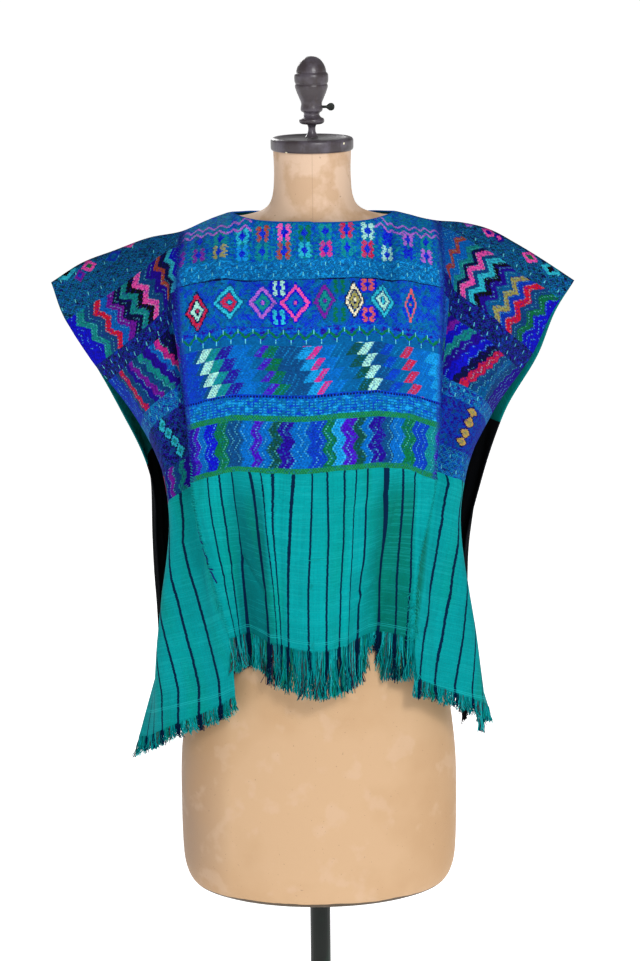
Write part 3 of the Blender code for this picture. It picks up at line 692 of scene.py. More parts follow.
def panel(name, half, length, begin, end, edges, shift=None, stripes=()):
    """A thin closed wall of a length's cloth from begin to end, with a material for each band."""
    chosen = warp_lines(half, length)
    depths = [pattern_depth(half, i, shift) for i in chosen]
    stops = np.array([
        [begin[i], *np.interp(edges, depth, half.down), end[i]] for i, depth in zip(chosen, depths)
    ])
    counts = np.maximum(1, np.round(np.diff(stops.mean(axis=0)) / ROW).astype(int))
    plain = plain_across(half, length, stripes)
    grid, normals, uvs, plain_uvs = [], [], [], []
    for i, line_stops, depth in zip(chosen, stops, depths):
        at = line_rows(line_stops, counts)
        across = np.full(len(at), u_of(half.across[i]))
        grid.append(read_along(at, half, half.points[i]))
        normals.append(unit(read_along(at, half, half.normals[i])))
        uvs.append(np.stack([across, np.interp(at, half.down, depth)], axis=1))
        plain_uvs.append(np.stack([np.interp(at, half.down, plain[i]), at + half.start[i]], axis=1))
    grid, normals = np.array(grid), np.array(normals)
    faces, indexes = wall_faces(grid, normals, np.repeat(np.arange(len(counts)), counts))
    vertices = np.concatenate([grid + normals * CLOTH / 2, grid - normals * CLOTH / 2]).reshape(-1, 3)
    layers = {"cloth": uvs, "plain": plain_uvs}
    layers = {layer: np.tile(np.reshape(rows, (-1, 2)), (2, 1)) for layer, rows in layers.items()}
    return mesh_object(name, vertices, faces, layers, indexes)


def sampled(values, half, across, down):
    """Values of a surface at given places."""
    i = np.interp(across, half.across, np.arange(len(half.across)))
    j = np.interp(down, half.down, np.arange(len(half.down)))
    i0 = np.clip(np.floor(i).astype(int), 0, len(half.across) - 2)
    j0 = np.clip(np.floor(j).astype(int), 0, len(half.down) - 2)
    fi, fj = i - i0, j - j0
    if values.ndim == 3:
        fi, fj = fi[..., None], fj[..., None]
    top = values[i0, j0] * (1 - fi) + values[i0 + 1, j0] * fi
    low = values[i0, j0 + 1] * (1 - fi) + values[i0 + 1, j0 + 1] * fi
    return top * (1 - fj) + low * fj


def spots(half, across, down):
    """Points, normals and down directions of the surface at given places."""
    points = sampled(half.points, half, across, down)
    fall = sampled(half.points, half, across, down + STEP) - sampled(half.points, half, across, down - STEP)
    return points, unit(sampled(half.normals, half, across, down)), unit(fall)


def tubes(name, paths, radii, aside, uvs, sides=3):
    """Many thin closed tubes along given paths, as one mesh. paths is strands by stations by 3."""
    strands, stations = paths.shape[:2]
    along = unit(np.gradient(paths, axis=1))
    first = unit(aside - (aside * along).sum(axis=2, keepdims=True) * along)
    second = np.cross(along, first)
    turns = 2 * math.pi * np.arange(sides) / sides
    ring = first[:, :, None] * np.cos(turns)[:, None] + second[:, :, None] * np.sin(turns)[:, None]
    vertices = (paths[:, :, None] + ring * radii[:, :, None, None]).reshape(-1, 3)
    faces = []
    for strand in range(strands):
        base = strand * stations * sides
        for station in range(stations - 1):
            for side in range(sides):
                a = base + station * sides + side
                b = base + station * sides + (side + 1) % sides
                faces.append((a, b, b + sides, a + sides))
        faces.append([base + side for side in reversed(range(sides))])
        faces.append([base + (stations - 1) * sides + side for side in range(sides)])
    flat = np.repeat(uvs.reshape(-1, 2), sides, axis=0)
    return mesh_object(name, vertices, faces, {"plain": flat})


def strand_lengths(kind, across, clump, chance):
    """Each strand's length: its place's own, made uneven by clumps and by strands."""
    places_mm, lengths = zip(*kind.lengths)
    full = np.interp(u_of(across) * 1000, places_mm, lengths)
    by_clump = kind.uneven * chance.uniform(-CLUMP_UNEVEN, CLUMP_UNEVEN, clump.max() + 1)[clump]
    by_strand = kind.uneven * STRAND_UNEVEN * chance.normal(size=len(across))
    return np.maximum(full + by_clump + by_strand, full * SHORTEST) / 1000


def lean(clump, share, reach, slopes, chance):
    """How far strands lean over at stations down them, by clumps and one by one."""
    by_clump = chance.normal(size=clump.max() + 1)[clump] * slopes[0]
    slope = by_clump + chance.normal(size=len(clump)) * slopes[1]
    return slope[:, None, None] * share ** 1.5 * reach


def strand_paths(roots, normals, fall, gather, clump, reach, chance):
    """The strands' paths: down from the hem, drawn together in clumps, leaning and a little wavy."""
    count = len(roots)
    share = np.linspace(0, 1, STATIONS)[None, :, None]
    reach = reach[:, None, None]
    weft = unit(np.cross(normals, fall))
    down = unit(fall + PULL * np.array([0, 0, -1.0]))[:, None]
    aside = lean(clump, share, reach, LEAN_ASIDE, chance)
    out = lean(clump, share, reach, LEAN_OUT, chance)
    turns = 1.0 + 0.9 * chance.random((count, 1, 1))
    wave = np.sin(2 * math.pi * (share * turns + chance.random((count, 1, 1))))
    wave -= wave[:, :1]
    side = np.sign((weft * np.gradient(roots, axis=0)).sum(axis=1))
    aside = aside + SWING * wave * share + (side * gather)[:, None, None] * GATHER * share
    out = out + STAND_OFF * chance.normal(size=(count, 1, 1))
    paths = roots[:, None] + down * share * reach + weft[:, None] * aside + normals[:, None] * out
    paths[:, 0] -= down[:, 0] * ROOT
    return paths, share[:, :, 0]


def fringe(name, half, length, drop, seed):
    """Loose warp ends below a hem."""
    chance = np.random.default_rng(seed)
    kind = FRINGES[length.side]
    count, width = kind.strands, length.last - length.first
    across = length.first + width * (np.arange(count) + chance.uniform(0.1, 0.9, count)) / count
    hem = np.interp(across, half.across, hem_line(half, length, drop))
    roots, normals, fall = spots(half, across, hem)
    clump = np.arange(count) // CLUMP
    middle = np.array([across[clump == k].mean() for k in range(clump.max() + 1)])[clump]
    gather = (middle - across) / width * np.linalg.norm(roots[-1] - roots[0])
    reach = strand_lengths(kind, across, clump, chance)
    paths, share = strand_paths(roots, normals, fall, gather, clump, reach, chance)
    radii = kind.radius / 1000 * (1.05 - 0.3 * share) * chance.uniform(0.75, 1.25, (count, 1))
    u = sampled(plain_across(half, length, STRIPES[length.side]), half, across, hem)
    uvs = np.stack([np.repeat(u[:, None], STATIONS, axis=1), length.long + share * reach[:, None]], axis=2)
    return tubes(name, paths, radii, np.repeat(normals[:, None], STATIONS, axis=1), uvs)


def threads(name, half, runs, radius):
    """Threads lying on the cloth. Each is a row of places (u, v, height over the cloth), in millimetres."""
    runs = np.asarray(runs, float)
    across = np.interp(runs[..., 0] / 1000, u_of(half.across), half.across)
    down = runs[..., 1] / 1000 - np.interp(across, half.across, half.start)
    points, normals, _ = spots(half, across, np.maximum(down, 0))
    paths = points + normals * (CLOTH / 2 + runs[..., 2:] / 1000)
    return tubes(name, paths, np.full(paths.shape[:2], radius), normals, runs[..., :2] / 1000, 4)


def seam_stitches(seam, v0, v1, pitch, wide, seed):
    """Slanting joining stitches from v0 to v1 over a seam, each dipping into the cloth at its ends."""
    chance = np.random.default_rng(seed)
    along = np.linspace(0, 1, 6)
    runs = []
    for v in np.arange(v0, v1, pitch):
        lean = chance.uniform(0.6, 1.0) * pitch
        half_wide = wide * chance.uniform(0.7, 1.2) / 2
        u = seam + half_wide * (2 * along - 1) + chance.uniform(-0.5, 0.5)
        runs.append(np.stack([u, v + lean * along, 0.9 * np.sin(math.pi * along) - 0.45], axis=1))
    return runs


def curls(u, v, wide, deep, count, length, seed):
    """Loose curling threads scattered over a patch of the cloth."""
    chance = np.random.default_rng(seed)
    share = np.linspace(0, 1, 9)
    runs = []
    for _ in range(count):
        turn = chance.uniform(-1.6, 1.6) + 2.2 * share * chance.uniform(-1, 1)
        step = length * chance.uniform(0.6, 1.3) / 8
        x = np.cumsum(np.sin(turn)) * step
        y = np.cumsum(np.cos(turn)) * step
        height = 0.3 + 3.0 * chance.uniform(0.4, 1.0) * np.sin(math.pi * share * 0.9)
        place = (u + chance.uniform(-wide, wide) / 2, v + chance.uniform(-deep, deep) / 2)
        runs.append(np.stack([place[0] + x, place[1] + y, height], axis=1))
    return runs


def neck_edge(front, back):
    """A thin roll along the cut edge of the neck slit."""
    paths, normals = [], []
    for half in (front, back):
        across = np.linspace(-NECK_HALF, NECK_HALF, 90)
        i = np.interp(across, half.points[:, 0, 0], half.across)
        points, outward, _ = spots(half, i, np.zeros(len(i)))
        paths.append(points)
        normals.append(outward)
    paths, normals = np.array(paths), np.array(normals)
    return tubes("neck_roll", paths, np.full(paths.shape[:2], 0.0012), normals, paths[..., :2], 6)


def shoulder_rest(x):
    """Height of the form's shoulder under the cloth's fold."""
    return min(fold_height(-x), fold_height(x)) - CLOTH / 2 - SHOULDER_REST


def loft(name, rings, ends=True):
    """A mesh through rings of points from the top down, with flat ends or open."""
    sides = len(rings[0])
    faces = [list(range(sides)), [len(rings) * sides - 1 - k for k in range(sides)]] if ends else []
    for r in range(len(rings) - 1):
        for k in range(sides):
            a, b = r * sides + k, r * sides + (k + 1) % sides
            faces.append([a, a + sides, b + sides, b])
    made = mesh_object(name, np.concatenate(rings), faces)
    made.data.set_sharp_from_angle(angle=math.radians(50))
    return made


def torso():
    """The dress form as a fine loft through the solid's rings."""
    rings = [
        ring if ring.side_z else ring._replace(side_z=shoulder_rest(ring.half_width)) for ring in FORM_RINGS
    ]
    stations = np.linspace(0, len(rings) - 1, (len(rings) - 1) * RINGS_BETWEEN + 1)
    table = smooth(range(len(rings)), rings, stations)
    turn = 2 * math.pi * np.arange(FORM_SIDES) / FORM_SIDES
    from_front = np.abs((turn + math.pi / 2 + math.pi) % (2 * math.pi) - math.pi)
    swell = np.exp(-((from_front - (math.pi / 2 - BUST_ANGLE)) / BUST_SPREAD) ** 2)
    fine = []
    for side_z, front_z, half_width, half_depth, bust in table:
        x = half_width * np.cos(turn)
        y = half_depth * np.sin(turn) - bust * swell
        z = side_z - (side_z - front_z) * np.abs(np.sin(turn)) ** SHOULDER_ROUND
        fine.append(np.stack([x, y, z], axis=1))
    return loft("torso_canvas", fine)


def lathe(name, profile, sides=72, ends=True):
    """A turned shape on the pole's axis, from points (radius, height) down its outer side."""
    turn = 2 * math.pi * np.arange(sides) / sides
    rings = [np.stack([r * np.cos(turn), r * np.sin(turn), np.full(sides, z)], axis=1) for r, z in profile]
    return loft(name, rings, ends)


def finer(profile, count=5):
    """More points on a smooth curve through a profile."""
    points = np.array(profile)
    run = np.concatenate([[0], np.cumsum(np.linalg.norm(np.diff(points, axis=0), axis=1))])
    between = [np.linspace(a, b, count, endpoint=False) for a, b in zip(run, run[1:])]
    found = smooth(run, points, np.concatenate([*between, run[-1:]]))
    return [(max(r, 0.0002), z) for r, z in found]


# Colours as red, green and blue from 0 to 255
PALETTE = {
    "teal_ground": (0, 154, 158), "teal_dark": (0, 116, 120), "teal_light": (30, 184, 188),
    # The last two colours on the next line are painted shade for the plain teal cloth's valleys and side
    # lengths.
    "teal_green": (0, 138, 112), "teal_painted_shade": (0, 92, 96), "teal_green_painted_shade": (0, 98, 70),
    "mauve": (68, 54, 64), "ink": (0, 32, 64), "lake": (4, 94, 156), "azure": (4, 104, 196),
    "sky": (20, 150, 222), "cyan": (44, 190, 214), "aqua": (96, 206, 220), "mint": (168, 232, 218),
    "teal": (16, 140, 138), "steel": (12, 72, 130), "royal": (14, 18, 206), "blue": (8, 58, 190),
    "indigo": (34, 8, 150), "violet": (66, 12, 190), "purple": (118, 24, 160), "lilac": (184, 100, 216),
    "magenta": (206, 40, 140), "pink": (246, 84, 178), "red": (216, 24, 52), "crimson": (198, 28, 70),
    "coral": (214, 92, 96), "rust": (166, 70, 42), "olive": (164, 158, 84), "green": (8, 112, 66),
    "leaf": (34, 134, 86), "deep": (12, 76, 66), "navy": (8, 16, 64), "black": (12, 14, 18),
    "gold": (196, 160, 84), "cream": (236, 230, 196),
    "canvas": (204, 167, 128), "canvas_brown": (180, 138, 92), "canvas_pink": (222, 194, 172),
    # The first colour on the next line is painted shade for the form's left side.
    "canvas_painted_shade": (128, 104, 88), "canvas_speck": (120, 82, 54),
    "wood_dark": (58, 50, 54), "wood_grey": (98, 92, 104), "wood_brown": (54, 40, 34),
    "iron": (22, 27, 24), "iron_green": (18, 46, 34),
}


def linear(value):
    """A colour value from 0 to 255 in linear light."""
    return ((value / 255 + 0.055) / 1.055) ** 2.4 if value > 10 else value / 255 / 12.92


def colour_of(name):
    """A palette colour in linear light, opaque."""
    return (*map(linear, PALETTE[name]), 1)


def feed(tree, slot, value):
    """Set a node's input to a number or a palette colour, or link it to what another node puts out."""
    if isinstance(value, Number):
        value = value.socket
    if isinstance(value, bpy.types.NodeSocket):
        tree.links.new(value, slot)
    else:
        slot.default_value = colour_of(value) if isinstance(value, str) else value


def add_node(tree, kind, inputs, **settings):
    """A new shader node with its settings and its named inputs."""
    node = tree.nodes.new("ShaderNode" + kind)
    for name, value in settings.items():
        setattr(node, name, value)
    for name, value in inputs.items():
        feed(tree, node.inputs[name], value)
    return node


class Number:
    """A number in a material. Arithmetic on it adds Math nodes."""

    def __init__(self, tree, socket):
        self.tree = tree
        self.socket = socket

    def calc(self, operation, *others):
        """The result of one Math node."""
        node = add_node(self.tree, "Math", {}, operation=operation)
        for slot, value in zip(node.inputs, (self, *others)):
            feed(self.tree, slot, value)
        return Number(self.tree, node.outputs[0])

    def __add__(self, other):
        return self.calc("ADD", other)

    def __sub__(self, other):
        return self.calc("SUBTRACT", other)

    def __rsub__(self, other):
        return self.calc("MULTIPLY_ADD", -1.0, other)

    def __mul__(self, other):
        return self.calc("MULTIPLY", other)

    def __truediv__(self, other):
        return self.calc("DIVIDE", other)

    def __lt__(self, other):
        return self.calc("LESS_THAN", other)

    def __gt__(self, other):
        return self.calc("GREATER_THAN", other)

    def __or__(self, other):
        return self.calc("MAXIMUM", other)

    def abs(self):
        return self.calc("ABSOLUTE")

    def floor(self):
        return self.calc("FLOOR")

    def fract(self):
        return self.calc("FRACT")

    def sin(self):
        return self.calc("SINE")

    def bounce(self, reach):
        """Up from 0 to reach and back again, over and over."""
        return self.calc("PINGPONG", float(reach))

    def cells(self, size):
        """The middle of the cell of that size in which the number lies."""
        return ((self / size).floor() + 0.5) * size

    def held(self, high):
        """The number kept between 0 and high."""
        return self.calc("MAXIMUM", 0.0).calc("MINIMUM", high)

    def within(self, low, high):
        """1 between low and high, otherwise 0."""
        return (self > low) * (self < high)


def pick(value, low, high, stops):
    """A colour for each stretch of a value: stops are (where it begins, palette name), in rising order."""
    tree = value.tree
    node = add_node(tree, "ValToRGB", {})
    node.color_ramp.interpolation = "CONSTANT"
    elements = node.color_ramp.elements
    for k, (begins, name) in enumerate(stops):
        place = min(max((begins - low) / (high - low), 0.0), 1.0)
        element = elements[k] if k < 2 else elements.new(place)
        element.position = place
        element.color = colour_of(name)
    feed(tree, node.inputs["Fac"], (value - low) / (high - low))
    return node.outputs["Color"]


def pick_each(index, names):
    """A palette colour for each whole number from 0."""
    return pick(index + 0.5, 0, len(names), list(enumerate(names)))


class Layers:
    """A colour that is laid on in layers."""

    def __init__(self, tree, colour=None):
        self.tree = tree
        self.colour = colour

    def over(self, mask, colour):
        """Lay a colour where the mask is 1."""
        node = add_node(self.tree, "Mix", {"Factor": mask}, data_type="RGBA")
        under, upper = [slot for slot in node.inputs if slot.type == "RGBA"]
        feed(self.tree, under, self.colour)
        feed(self.tree, upper, colour)
        self.colour = [slot for slot in node.outputs if slot.type == "RGBA"][0]


class Paint(Layers):
    """A pattern that is laid on in layers. u runs across the cloth and t down from the top of the pattern,
    both in millimetres and in steps of one stitch; smooth_u and smooth_t have no steps."""

    def __init__(self, tree, layer, top, stitch, drift):
        super().__init__(tree)
        source = add_node(tree, "UVMap", {}, uv_map=layer)
        split = add_node(tree, "SeparateXYZ", {"Vector": source.outputs["UV"]})
        self.smooth_u = Number(tree, split.outputs["X"]) * 1000
        self.smooth_v = Number(tree, split.outputs["Y"]) * 1000
        self.smooth_t = self.smooth_v - top
        self.u, self.t = self.smooth_u, self.smooth_v
        aside = (self.noise(42, 34, 51.0) - 0.5) * drift
        along = (self.noise(36, 40, 57.0) - 0.5) * drift
        self.u = (self.smooth_u + aside).cells(stitch[0])
        self.t = (self.smooth_t + along).cells(stitch[1])

    def cover(self, colour):
        """Start with one colour."""
        self.colour = colour

    def noise(self, wide, deep, seed=0.0, detail=1.0):
        """Cloudy noise from 0 to 1, its clouds about so many millimetres wide and deep."""
        place = self.vector(self.u / wide + seed, self.t / deep)
        inputs = {"Vector": place, "Scale": 1.0, "Detail": detail}
        return Number(self.tree, add_node(self.tree, "TexNoise", inputs, noise_dimensions="2D").outputs[0])

    def chance(self, x, y=0.0):
        """A random number from 0 to 1 for each pair of numbers."""
        node = add_node(self.tree, "TexWhiteNoise", {"Vector": self.vector(x, y)}, noise_dimensions="2D")
        return Number(self.tree, node.outputs["Value"])

    def vector(self, x, y):
        """Two numbers as one vector."""
        return add_node(self.tree, "CombineXYZ", {"X": x, "Y": y}).outputs["Vector"]


def mottle(paint, colours, wide=9.0, deep=6.0, seed=0.0):
    """Cover with patches of a few related colours."""
    cloud = paint.noise(wide, deep, seed) * 1.6 - 0.3
    paint.cover(pick_each(cloud * len(colours) - 0.5, colours))


def dashes(paint, pitch, rows, colour="aqua", wide=1.3, deep=5.0):
    """Short upright stitches: rows are (depth, shift across)."""
    for depth, shift in rows:
        near_u = ((paint.smooth_u + shift) / pitch).fract() < wide / pitch
        near_t = (paint.smooth_t - depth).abs() < deep / 2
        paint.over(near_u * near_t, colour)


def herringbone(paint, colour, strength=0.5):
    """Short slanting strokes in rows, turned the other way in every second row."""
    pitch, row = 3.4, 3.0
    run = paint.smooth_u / pitch + paint.smooth_t.bounce(row) * 0.36
    kept = paint.chance(run.floor(), (paint.smooth_t / row).floor()) > 0.30
    paint.over((run.fract() < 0.40) * kept * strength, colour)


def flower(x, y):
    """A mask of one hooked flower about (0, 0): two mirrored bars with a hole between them."""
    a, b = x.abs(), y.abs()
    teeth = 8.6 - (b / 5.6).fract() * 3.4
    inner = (5.0 - b * 0.85) | ((b - 6.0) * 0.75) | 1.3
    return (a < teeth) * (a > inner) * (b < 10.6)


# Two rows of flowers: where the first column begins, their pitch, and each row's middle and colours
FLOWERS_BEGIN = -168.5
FLOWER_PITCH = 28.6
FLOWER_ROWS = (
    (23.0, ("steel", "teal", "cyan", "rust", "pink", "green", "teal", "crimson", "mint", "royal", "lilac",
            "teal", "steel")),
    (47.0, ("purple", "olive", "sky", "teal", "rust", "cyan", "magenta", "teal", "crimson", "mint", "royal",
            "lilac", "teal")),
)


def flowers(paint):
    """Two rows of flowers below the shoulder, with a zigzag line along the ridge."""
    mottle(paint, ("steel", "lake", "azure", "lake", "teal", "lake", "steel"), 6, 5)
    column = ((paint.u - FLOWERS_BEGIN) / FLOWER_PITCH).floor()
    x = (paint.u - (FLOWERS_BEGIN + FLOWER_PITCH / 2) - column * FLOWER_PITCH) * 0.9
    paint.over((x.abs() > 8.0) * (paint.noise(5, 4, 7.0) > 0.56), "blue")
    for middle, names in FLOWER_ROWS:
        y = (paint.t - middle) * 0.92
        paint.over((x * x + y * y) < 34.0, "royal")
        paint.over(flower(x, y), pick_each(column, names))
    for middle in (4.0, 16.0):
        wave = (paint.u.bounce(8.5) * 0.95 + paint.t - middle).abs() < 1.7
        paint.over(wave * (paint.u.abs() > 84), "lilac")
    herringbone(paint, "sky", 0.22)


FLECKS = ("azure", "lake", "sky", "lake", "azure")


def flecks(paint, colours=FLECKS, height=25.0, ripples="steel", strokes="sky"):
    """A plain mottled band with small pale dashes in two rows."""
    mottle(paint, colours, 7, 5, 3.0)
    ripple = ((paint.t + paint.u.bounce(5.0) * 1.1) / 9.0).fract() < 0.45
    paint.over(ripple * 0.6, ripples)
    herringbone(paint, strokes)
    dashes(paint, 20.0, [(height * 0.28, 4.0), (height * 0.78, 14.0)])


Diamond = namedtuple("Diamond", "u wide ring heart ground")
DIAMONDS = [
    Diamond(-156, 16, "crimson", "mint", "navy"),
    Diamond(-112, 18, "cyan", "crimson", "steel"),
    Diamond(-68, 19, "lilac", "teal", "blue"),
    Diamond(-24, 20, "pink", "azure", "royal"),
    Diamond(14, 13, "purple", "teal", "steel"),
    Diamond(54, 13, "cream", "olive", "navy"),
    Diamond(93, 15, "cyan", "mint", "steel"),
    Diamond(132, 8, "coral", "royal", "lake"),
]
# Flowers between the diamonds: place and colour
SMALL_FLOWERS = [
    (-46, 11, "mint"), (-46, 51, "cyan"), (73, 10, "coral"), (73, 52, "coral"), (34, 12, "green"),
    (34, 51, "green"),
]


def diamonds(paint):
    """A row of stepped diamonds with flowers between them."""
    mottle(paint, ("steel", "lake", "azure", "lake", "blue", "lake", "steel"), 9, 8, 5.0)
    paint.over((paint.noise(14, 16, 13.0) > 0.50) * 0.75, "royal")
    herringbone(paint, "teal", 0.4)
    y = (paint.t - 31.5 - (paint.u < -130) * 7.0).abs() + (paint.noise(7, 5, 41.0) - 0.5) * 5.0
    for u, middle, name in SMALL_FLOWERS:
        x = paint.u - u
        z = paint.t - middle
        paint.over((x * x + z * z) < 170.0, "lake" if name == "green" else "royal")
        paint.over(flower(x * 0.95, z * 1.02), name)
    for diamond in DIAMONDS:
        size = (paint.u - diamond.u).abs() / (diamond.wide + 0.5) + y / 24.0
        paint.over(size < 1.15, diamond.ground)
        paint.over(size.within(0.74, 1.0), diamond.ring)
        paint.over(size.within(0.26, 0.58), diamond.heart)
        paint.over(size < 0.16, diamond.ring)
    paint.over(paint.t < 1.6, "navy")


def hills(paint):
    """A low green zigzag with pale dashes over its valleys and under its peaks."""
    mottle(paint, ("indigo", "blue", "azure", "blue"), 9, 5, 8.0)
    slope = paint.u.bounce(10.0)
    paint.over((paint.t - slope * 0.9 - 6.5) > 4.5, "lake")
    paint.over((paint.t - slope * 0.9 - 6.0).abs() < 2.4, "green")
    dashes(paint, 20.0, [(6.0, 0.6), (19.0, 10.6)], deep=6.0)
    paint.over((paint.t < 2.0) * ((paint.u / 5.2).fract() < 0.5), "indigo")


# Colours across the leaning blocks: where each begins, in millimetres from the middle
SLANTS = [
    (-200, "blue"), (-158, "steel"), (-150, "mint"), (-137, "teal"), (-122, "indigo"), (-106, "azure"),
    (-80, "lake"), (-68, "violet"), (-58, "green"), (-45, "steel"), (-14, "sky"), (1, "magenta"),
    (10, "azure"), (30, "lake"), (52, "deep"), (66, "mint"), (79, "steel"), (96, "blue"), (108, "lake"),
    (124, "crimson"), (137, "azure"), (166, "sky"),
]


def slants(paint):
    """Rows of leaning blocks, each row a little further right."""
    height, offset, slope = 15.7, 4.4, 0.72
    row = (paint.t / height).floor()
    lean = paint.u - row * offset + (paint.t - row * height) * slope
    paint.cover(pick(lean, -200, 200, SLANTS))
    hatch = ((lean / 3.6).fract() < 0.30) * (paint.noise(14, 10, 4.0) > 0.40)
    paint.over(hatch * 0.45, "steel")
    paint.over(((lean / 7.2).fract() < 0.16) * (paint.noise(20, 12, 9.0) > 0.5) * 0.5, "sky")


def dotted_blue(paint):
    """A dotted line, then a blue band of small pale dashes in bunches."""
    mottle(paint, ("azure", "blue", "lake", "azure", "sky"), 12, 8, 12.0)
    bunch = ((paint.u + (paint.t / 8.0).floor() * 9.0) / 18.0).fract() < 0.62
    short = ((paint.smooth_u / 6.0).fract() < 0.66) * ((paint.smooth_t / 3.6).fract() < 0.42)
    paint.over(bunch * short * (paint.t > 6.5) * 0.55, "cyan")
    paint.over(paint.t < 4.4, "blue")
    paint.over(paint.t.within(0.8, 4.2) * ((paint.smooth_u / 4.2).fract() < 0.55), "navy")


# Colours across the large zigzag, as above
BOLD_STRIPES = [
    (-200, "indigo"), (-176, "violet"), (-168, "azure"), (-156, "royal"), (-136, "green"), (-118, "steel"),
    (-98, "azure"), (-82, "violet"), (-71, "azure"), (-59, "deep"), (-46, "indigo"), (-30, "azure"),
    (-9, "blue"), (12, "green"), (25, "sky"), (37, "violet"), (52, "deep"), (64, "azure"), (73, "indigo"),
    (90, "steel"), (103, "azure"), (119, "green"), (138, "blue"), (162, "teal"), (180, "violet"),
]


def zigzag(paint, stops, low, high, swing, period, lean=0.0, height=70.0):
    """Upright zigzag stripes, leaning across as they go down, with pale stitches along some of them."""
    x = paint.u + paint.t.bounce(period / 2) * (swing * 2 / period) - swing / 2
    x = x + (paint.t - height / 2) * lean
    paint.cover(pick(x, low, high, stops))
    paint.over(((x / 4.6).fract() < 0.24) * 0.42, "navy")
    line = (((x + 2.0) / 9.2).fract() < 0.16) * ((paint.smooth_t / 3.0).fract() < 0.6)
    paint.over(line * (paint.noise(16, 40, 6.0) > 0.45) * 0.5, "aqua")


def braid(paint, begins, ends):
    """A narrow green braid."""
    tick = (paint.smooth_u / 3.4 + (paint.smooth_t / 2.2).floor() * 0.5).fract() < 0.5
    across = paint.smooth_t.within(begins, ends)
    paint.over(across, "green")
    paint.over(across * tick, "leaf")


def bold(paint):
    """The large zigzag between two braids."""
    upper, lower, hem = 7.4, 68.0, 75.0
    paint.t = paint.t - 8.0
    zigzag(paint, BOLD_STRIPES, -200, 200, 8.0, 25.0)
    braid(paint, 0.0, upper)
    braid(paint, lower, hem)
    paint.over(paint.smooth_t > hem, "teal_ground")


# Colours across the side lengths' zigzags, as above
LEFT_STRIPES = [
    (-400, "royal"), (-353, "teal"), (-340, "steel"), (-325, "red"), (-314, "azure"), (-302, "purple"),
    (-291, "navy"), (-280, "teal"), (-270, "black"), (-260, "pink"), (-250, "steel"), (-238, "indigo"),
    (-224, "rust"), (-216, "navy"), (-203, "cyan"), (-193, "royal"),
]
RIGHT_STRIPES = [
    (180, "azure"), (206, "rust"), (216, "azure"), (230, "teal"), (240, "navy"), (247, "pink"),
    (256, "steel"), (263, "cyan"), (272, "black"), (281, "indigo"), (290, "lake"), (300, "olive"),
    (309, "blue"), (320, "red"), (332, "steel"), (344, "green"), (356, "royal"),
]
LEFT_DARK = [
    (-400, "blue"), (-338, "steel"), (-327, "crimson"), (-316, "steel"), (-304, "indigo"), (-296, "purple"),
    (-288, "steel"), (-278, "teal"), (-270, "indigo"), (-258, "azure"), (-250, "magenta"), (-242, "navy"),
    (-222, "lake"), (-206, "purple"), (-196, "blue"),
]
RIGHT_DARK = [
    (180, "azure"), (198, "green"), (206, "indigo"), (216, "purple"), (224, "royal"), (238, "teal"),
    (250, "indigo"), (262, "royal"), (276, "navy"), (287, "crimson"), (299, "steel"), (312, "lake"),
    (326, "steel"), (340, "indigo"),
]
# Lozenges in the side lengths' third row: place, half of the width and depth, colour and heart
LEFT_LOZENGES = [
    (-288, 8, 7, 9, "cyan", "teal"), (-282, 22, 7, 9, "cyan", "teal"), (-276, 36, 7, 9, "cyan", "teal"),
    (-271, 50, 7, 9, "cyan", "teal"),
    (-222, 12, 4, 14, "crimson", "coral"), (-214, 36, 4, 14, "crimson", "coral"),
]
RIGHT_LOZENGES = [
    (294, 7, 8, 7, "gold", "olive"), (293, 22, 8, 7, "gold", "olive"), (292, 37, 8, 7, "gold", "olive"),
    (290, 51, 8, 7, "gold", "olive"),
    (206, 4, 6, 8, "magenta", "pink"), (208, 20, 6, 8, "magenta", "pink"),
    (210, 34, 5, 6, "crimson", "crimson"),
]


def lozenges(paint, colours, stones):
    """Lozenges over a mottled ground with slanting strokes."""
    mottle(paint, colours, 8, 7, 2.0)
    herringbone(paint, "lake", 0.6)
    for u, t, wide, deep, ring, heart in stones:
        size = (paint.u - u).abs() / wide + (paint.t - t).abs() / deep
        paint.over(size < 1.25, "navy")
        paint.over(size < 1.0, ring)
        paint.over(size < 0.5, heart)


# Ornaments along the shoulder ridge: place, half of the width, ring and heart
LEFT_GEMS = [
    (-355, 12, 14, "cyan", "black"), (-339, 24, 7, "purple", "blue"), (-325, 15, 12, "pink", "green"),
    (-290, 15, 11, "blue", "lake"), (-267, 10, 10, "pink", "blue"), (-236, 13, 9, "teal", "blue"),
    (-208, 11, 9, "purple", "blue"),
]
RIGHT_GEMS = [
    (204, 9, 9, "azure", "blue"), (231, 6, 11, "lilac", "blue"), (262, 6, 10, "pink", "indigo"),
    (277, 6, 8, "indigo", "pink"), (318, 6, 11, "pink", "green"), (346, 9, 13, "cyan", "black"),
]


def gems(paint, stones, height):
    """Small ornaments along the shoulder ridge, above a plain mottled band."""
    flecks(paint, ("steel", "lake", "steel", "navy", "lake"), height, "deep", "sky")
    for u, t, wide, ring, heart in stones:
        size = (paint.u - u).abs() / wide + (paint.t - t).abs() / 9.5
        paint.over(size < 1.0, ring)
        paint.over(size < 0.48, heart)


def shader_of(name, roughness, metallic=0.0):
    """A new material and its shader."""
    made = bpy.data.materials.new(name)
    made.use_nodes = True
    shader = made.node_tree.nodes["Principled BSDF"]
    shader.inputs["Roughness"].default_value = roughness
    shader.inputs["Metallic"].default_value = metallic
    return made, shader


def relief_from(tree, shader, height, distance, strength):
    """Bump from a number."""
    relief = add_node(tree, "Bump", {"Strength": strength, "Distance": distance, "Height": height})
    feed(tree, shader.inputs["Normal"], relief.outputs["Normal"])


